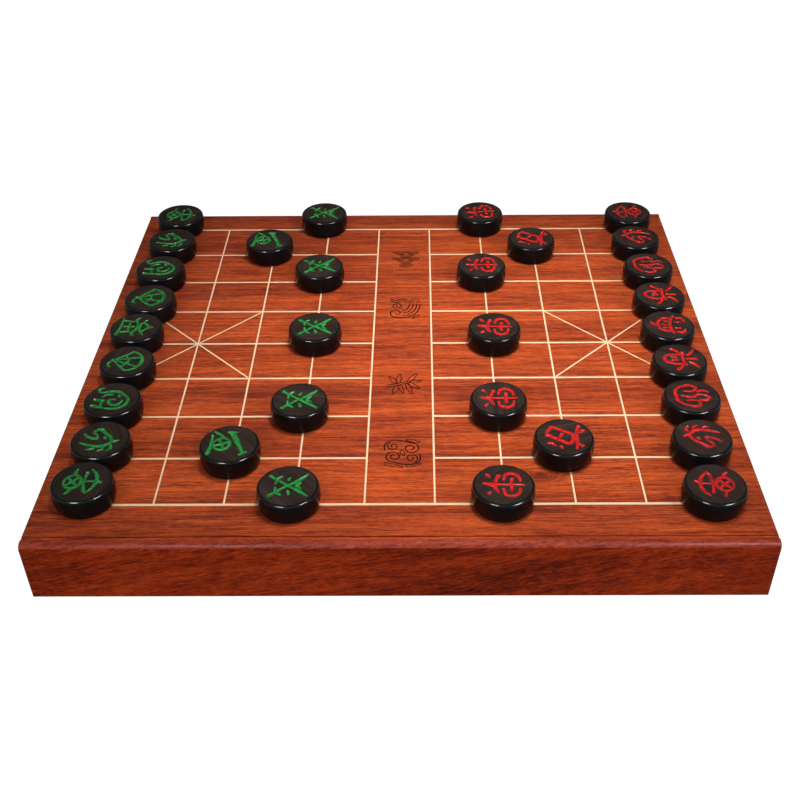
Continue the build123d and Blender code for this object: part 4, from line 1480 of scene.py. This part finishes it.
@dataclass(frozen=True)
class PhotoCamera:
    """The camera at the photograph's place.

    Attributes:
        spot: where it stands, in metres.
        pitch: how far it looks down, in radians.
        yaw: how far it looks to the right.
        roll: how far it leans.
        focal: focal length, in pixels of the square picture.
        middle: column of the optical axis.
        width: the picture's width, in pixels.
        sensor: width of the sensor, in millimetres.
    """

    spot: Triple = (0.01366, -0.753625, 0.5762)
    pitch: float = 0.659
    yaw: float = -0.0088
    roll: float = -0.0091
    focal: float = 1075.9077
    middle: float = 411.0203
    width: float = 800.0
    sensor: float = 36.0

    def build(self) -> None:
        """Set up the camera and make it the scene's own."""
        forward = Vector((math.sin(self.yaw) * math.cos(self.pitch),
                          math.cos(self.yaw) * math.cos(self.pitch), -math.sin(self.pitch)))
        level = Vector((math.cos(self.yaw), -math.sin(self.yaw), 0.0))
        upright = level.cross(forward)
        right = level * math.cos(self.roll) + upright * math.sin(self.roll)
        up = upright * math.cos(self.roll) - level * math.sin(self.roll)
        data = bpy.data.cameras.new("photo_camera")
        data.sensor_width = self.sensor
        data.lens = self.focal / self.width * self.sensor
        data.shift_x = -(self.middle - self.width / 2) / self.width
        data.clip_start = 0.01
        camera = bpy.data.objects.new("photo_camera", data)
        bpy.context.collection.objects.link(camera)
        turn = Matrix((right, up, -forward)).transposed().to_4x4()
        camera.matrix_world = Matrix.Translation(self.spot) @ turn
        bpy.context.scene.camera = camera
        LOG.info("camera placed")


@dataclass(frozen=True)
class Softbox:
    """A soft lamp that faces the board.

    Attributes:
        name: the lamp's name.
        azimuth: degrees from the front towards the right.
        height: degrees above the board.
        distance: from the middle of the board, in metres.
        size: width and height, in metres.
        power: in watts.
        aim: the point that it faces, in metres.
        spread: opening of its grid, in degrees.
        mirrored: whether polished wood shows it.
    """

    name: str
    azimuth: float
    height: float
    distance: float
    size: tuple[float, float]
    power: float
    aim: Triple = (0.0, 0.0, 0.05)
    spread: float = 180.0
    mirrored: bool = True

    def build(self) -> None:
        """Hang the lamp."""
        around, rise = math.radians(self.azimuth), math.radians(self.height)
        way = Vector((math.sin(around) * math.cos(rise), -math.cos(around) * math.cos(rise), math.sin(rise)))
        data = bpy.data.lights.new(self.name, "AREA")
        data.shape = "RECTANGLE"
        data.size, data.size_y = self.size
        data.energy = self.power
        data.spread = math.radians(self.spread)
        lamp = bpy.data.objects.new(self.name, data)
        lamp.visible_glossy = self.mirrored
        bpy.context.collection.objects.link(lamp)
        turn = way.to_track_quat("Z", "Y").to_matrix().to_4x4()
        lamp.matrix_world = Matrix.Translation(Vector(self.aim) + way * self.distance) @ turn


@dataclass(frozen=True)
class Studio:
    """The plain pale floor and the soft light.

    Attributes:
        lamps: the soft lamps.
        ambient: brightness of the room.
        mirrored: brightness of the room as polish shows it, darker than it lights.
        floor_size: in metres.
        floor_glow: strength of the white that the camera sees on the floor.
        glow_share: how much of what the camera sees there is that white.
        floor_shade: strength of the floor as polish shows it.
        shade_share: how much of what polish shows there is that shade.
    """

    lamps: tuple[Softbox, ...] = (
        Softbox("left_window", -28.0, 36.0, 2.0, (0.60, 0.24), 8.6),
        Softbox("right_window", 51.0, 38.0, 2.0, (0.68, 0.25), 10.6),
        Softbox("overhead", 40.0, 84.0, 1.2, (0.3, 0.3), 0.82, (0.06, 0.00, 0.05), spread=37.0,
                mirrored=False),
    )
    ambient: float = 0.17
    mirrored: float = 0.05
    floor_size: float = 14.0
    floor_glow: float = 1.2
    glow_share: float = 0.82
    floor_shade: float = 0.12
    shade_share: float = 0.9

    def build(self) -> None:
        """Lay the floor, light the room and hang the lamps."""
        bpy.context.scene.view_settings.view_transform = "Standard"
        self.lay_floor()
        self.light_room()
        for lamp in self.lamps:
            lamp.build()
        LOG.info("studio ready")

    def lay_floor(self) -> None:
        """Lay a floor that the camera sees as white and that polish shows as dim."""
        Bench.clear()
        bpy.ops.mesh.primitive_plane_add(size=self.floor_size)
        floor = Bench.named("studio_floor")
        graph = NodeGraph(bpy.data.materials.new("studio_floor"))
        paper = graph.remap(graph.noise(graph.place(), scale=3.0), 0.3, 0.7, 0.84, 0.86)
        diffuse = graph.node("ShaderNodeBsdfDiffuse", {"Color": paper})
        glow = graph.node("ShaderNodeEmission", {"Color": WHITE, "Strength": self.floor_glow})
        path = graph.node("ShaderNodeLightPath", {})
        shade = graph.node("ShaderNodeEmission", {"Color": WHITE, "Strength": self.floor_shade})
        dim = graph.math("MULTIPLY", path.outputs["Is Glossy Ray"], self.shade_share)
        paper = graph.node("ShaderNodeMixShader", {0: dim, 1: diffuse.outputs[0], 2: shade.outputs[0]})
        seen = graph.math("MAXIMUM", path.outputs["Is Camera Ray"], path.outputs["Is Transmission Ray"])
        share = graph.math("MULTIPLY", seen, self.glow_share)
        mix = graph.node("ShaderNodeMixShader", {0: share, 1: paper.outputs[0], 2: glow.outputs[0]})
        graph.node("ShaderNodeOutputMaterial", {"Surface": mix.outputs[0]})
        floor.data.materials.append(graph.owner)

    def light_room(self) -> None:
        """Fill the room with even light; the camera sees it as white, and polish as dim."""
        world = bpy.data.worlds.new("studio_room")
        bpy.context.scene.world = world
        graph = NodeGraph(world)
        room, mirrored, seen = (
            graph.node("ShaderNodeBackground", {"Color": WHITE, "Strength": level}).outputs[0]
            for level in (self.ambient, self.mirrored, 1.0))
        rays = graph.node("ShaderNodeLightPath", {}).outputs
        walls = graph.node("ShaderNodeMixShader", {0: rays["Is Glossy Ray"], 1: room, 2: mirrored})
        either = graph.math("MAXIMUM", rays["Is Camera Ray"], rays["Is Transmission Ray"])
        mix = graph.node("ShaderNodeMixShader", {0: either, 1: walls.outputs[0], 2: seen})
        graph.node("ShaderNodeOutputWorld", {"Surface": mix.outputs[0]})


def main() -> None:
    """Build the studio, then the box from its case to its discs."""
    logging.basicConfig(level=logging.INFO, format="%(name)s: %(message)s")
    PhotoCamera().build()
    Studio().build()
    finishes = Finishes()
    Case(finishes).build()
    for hand in Hand:
        Drawer(finishes, hand).build()
    DiscSet(finishes).build()
    Bench.clear()


if __name__ == "__main__":
    main()
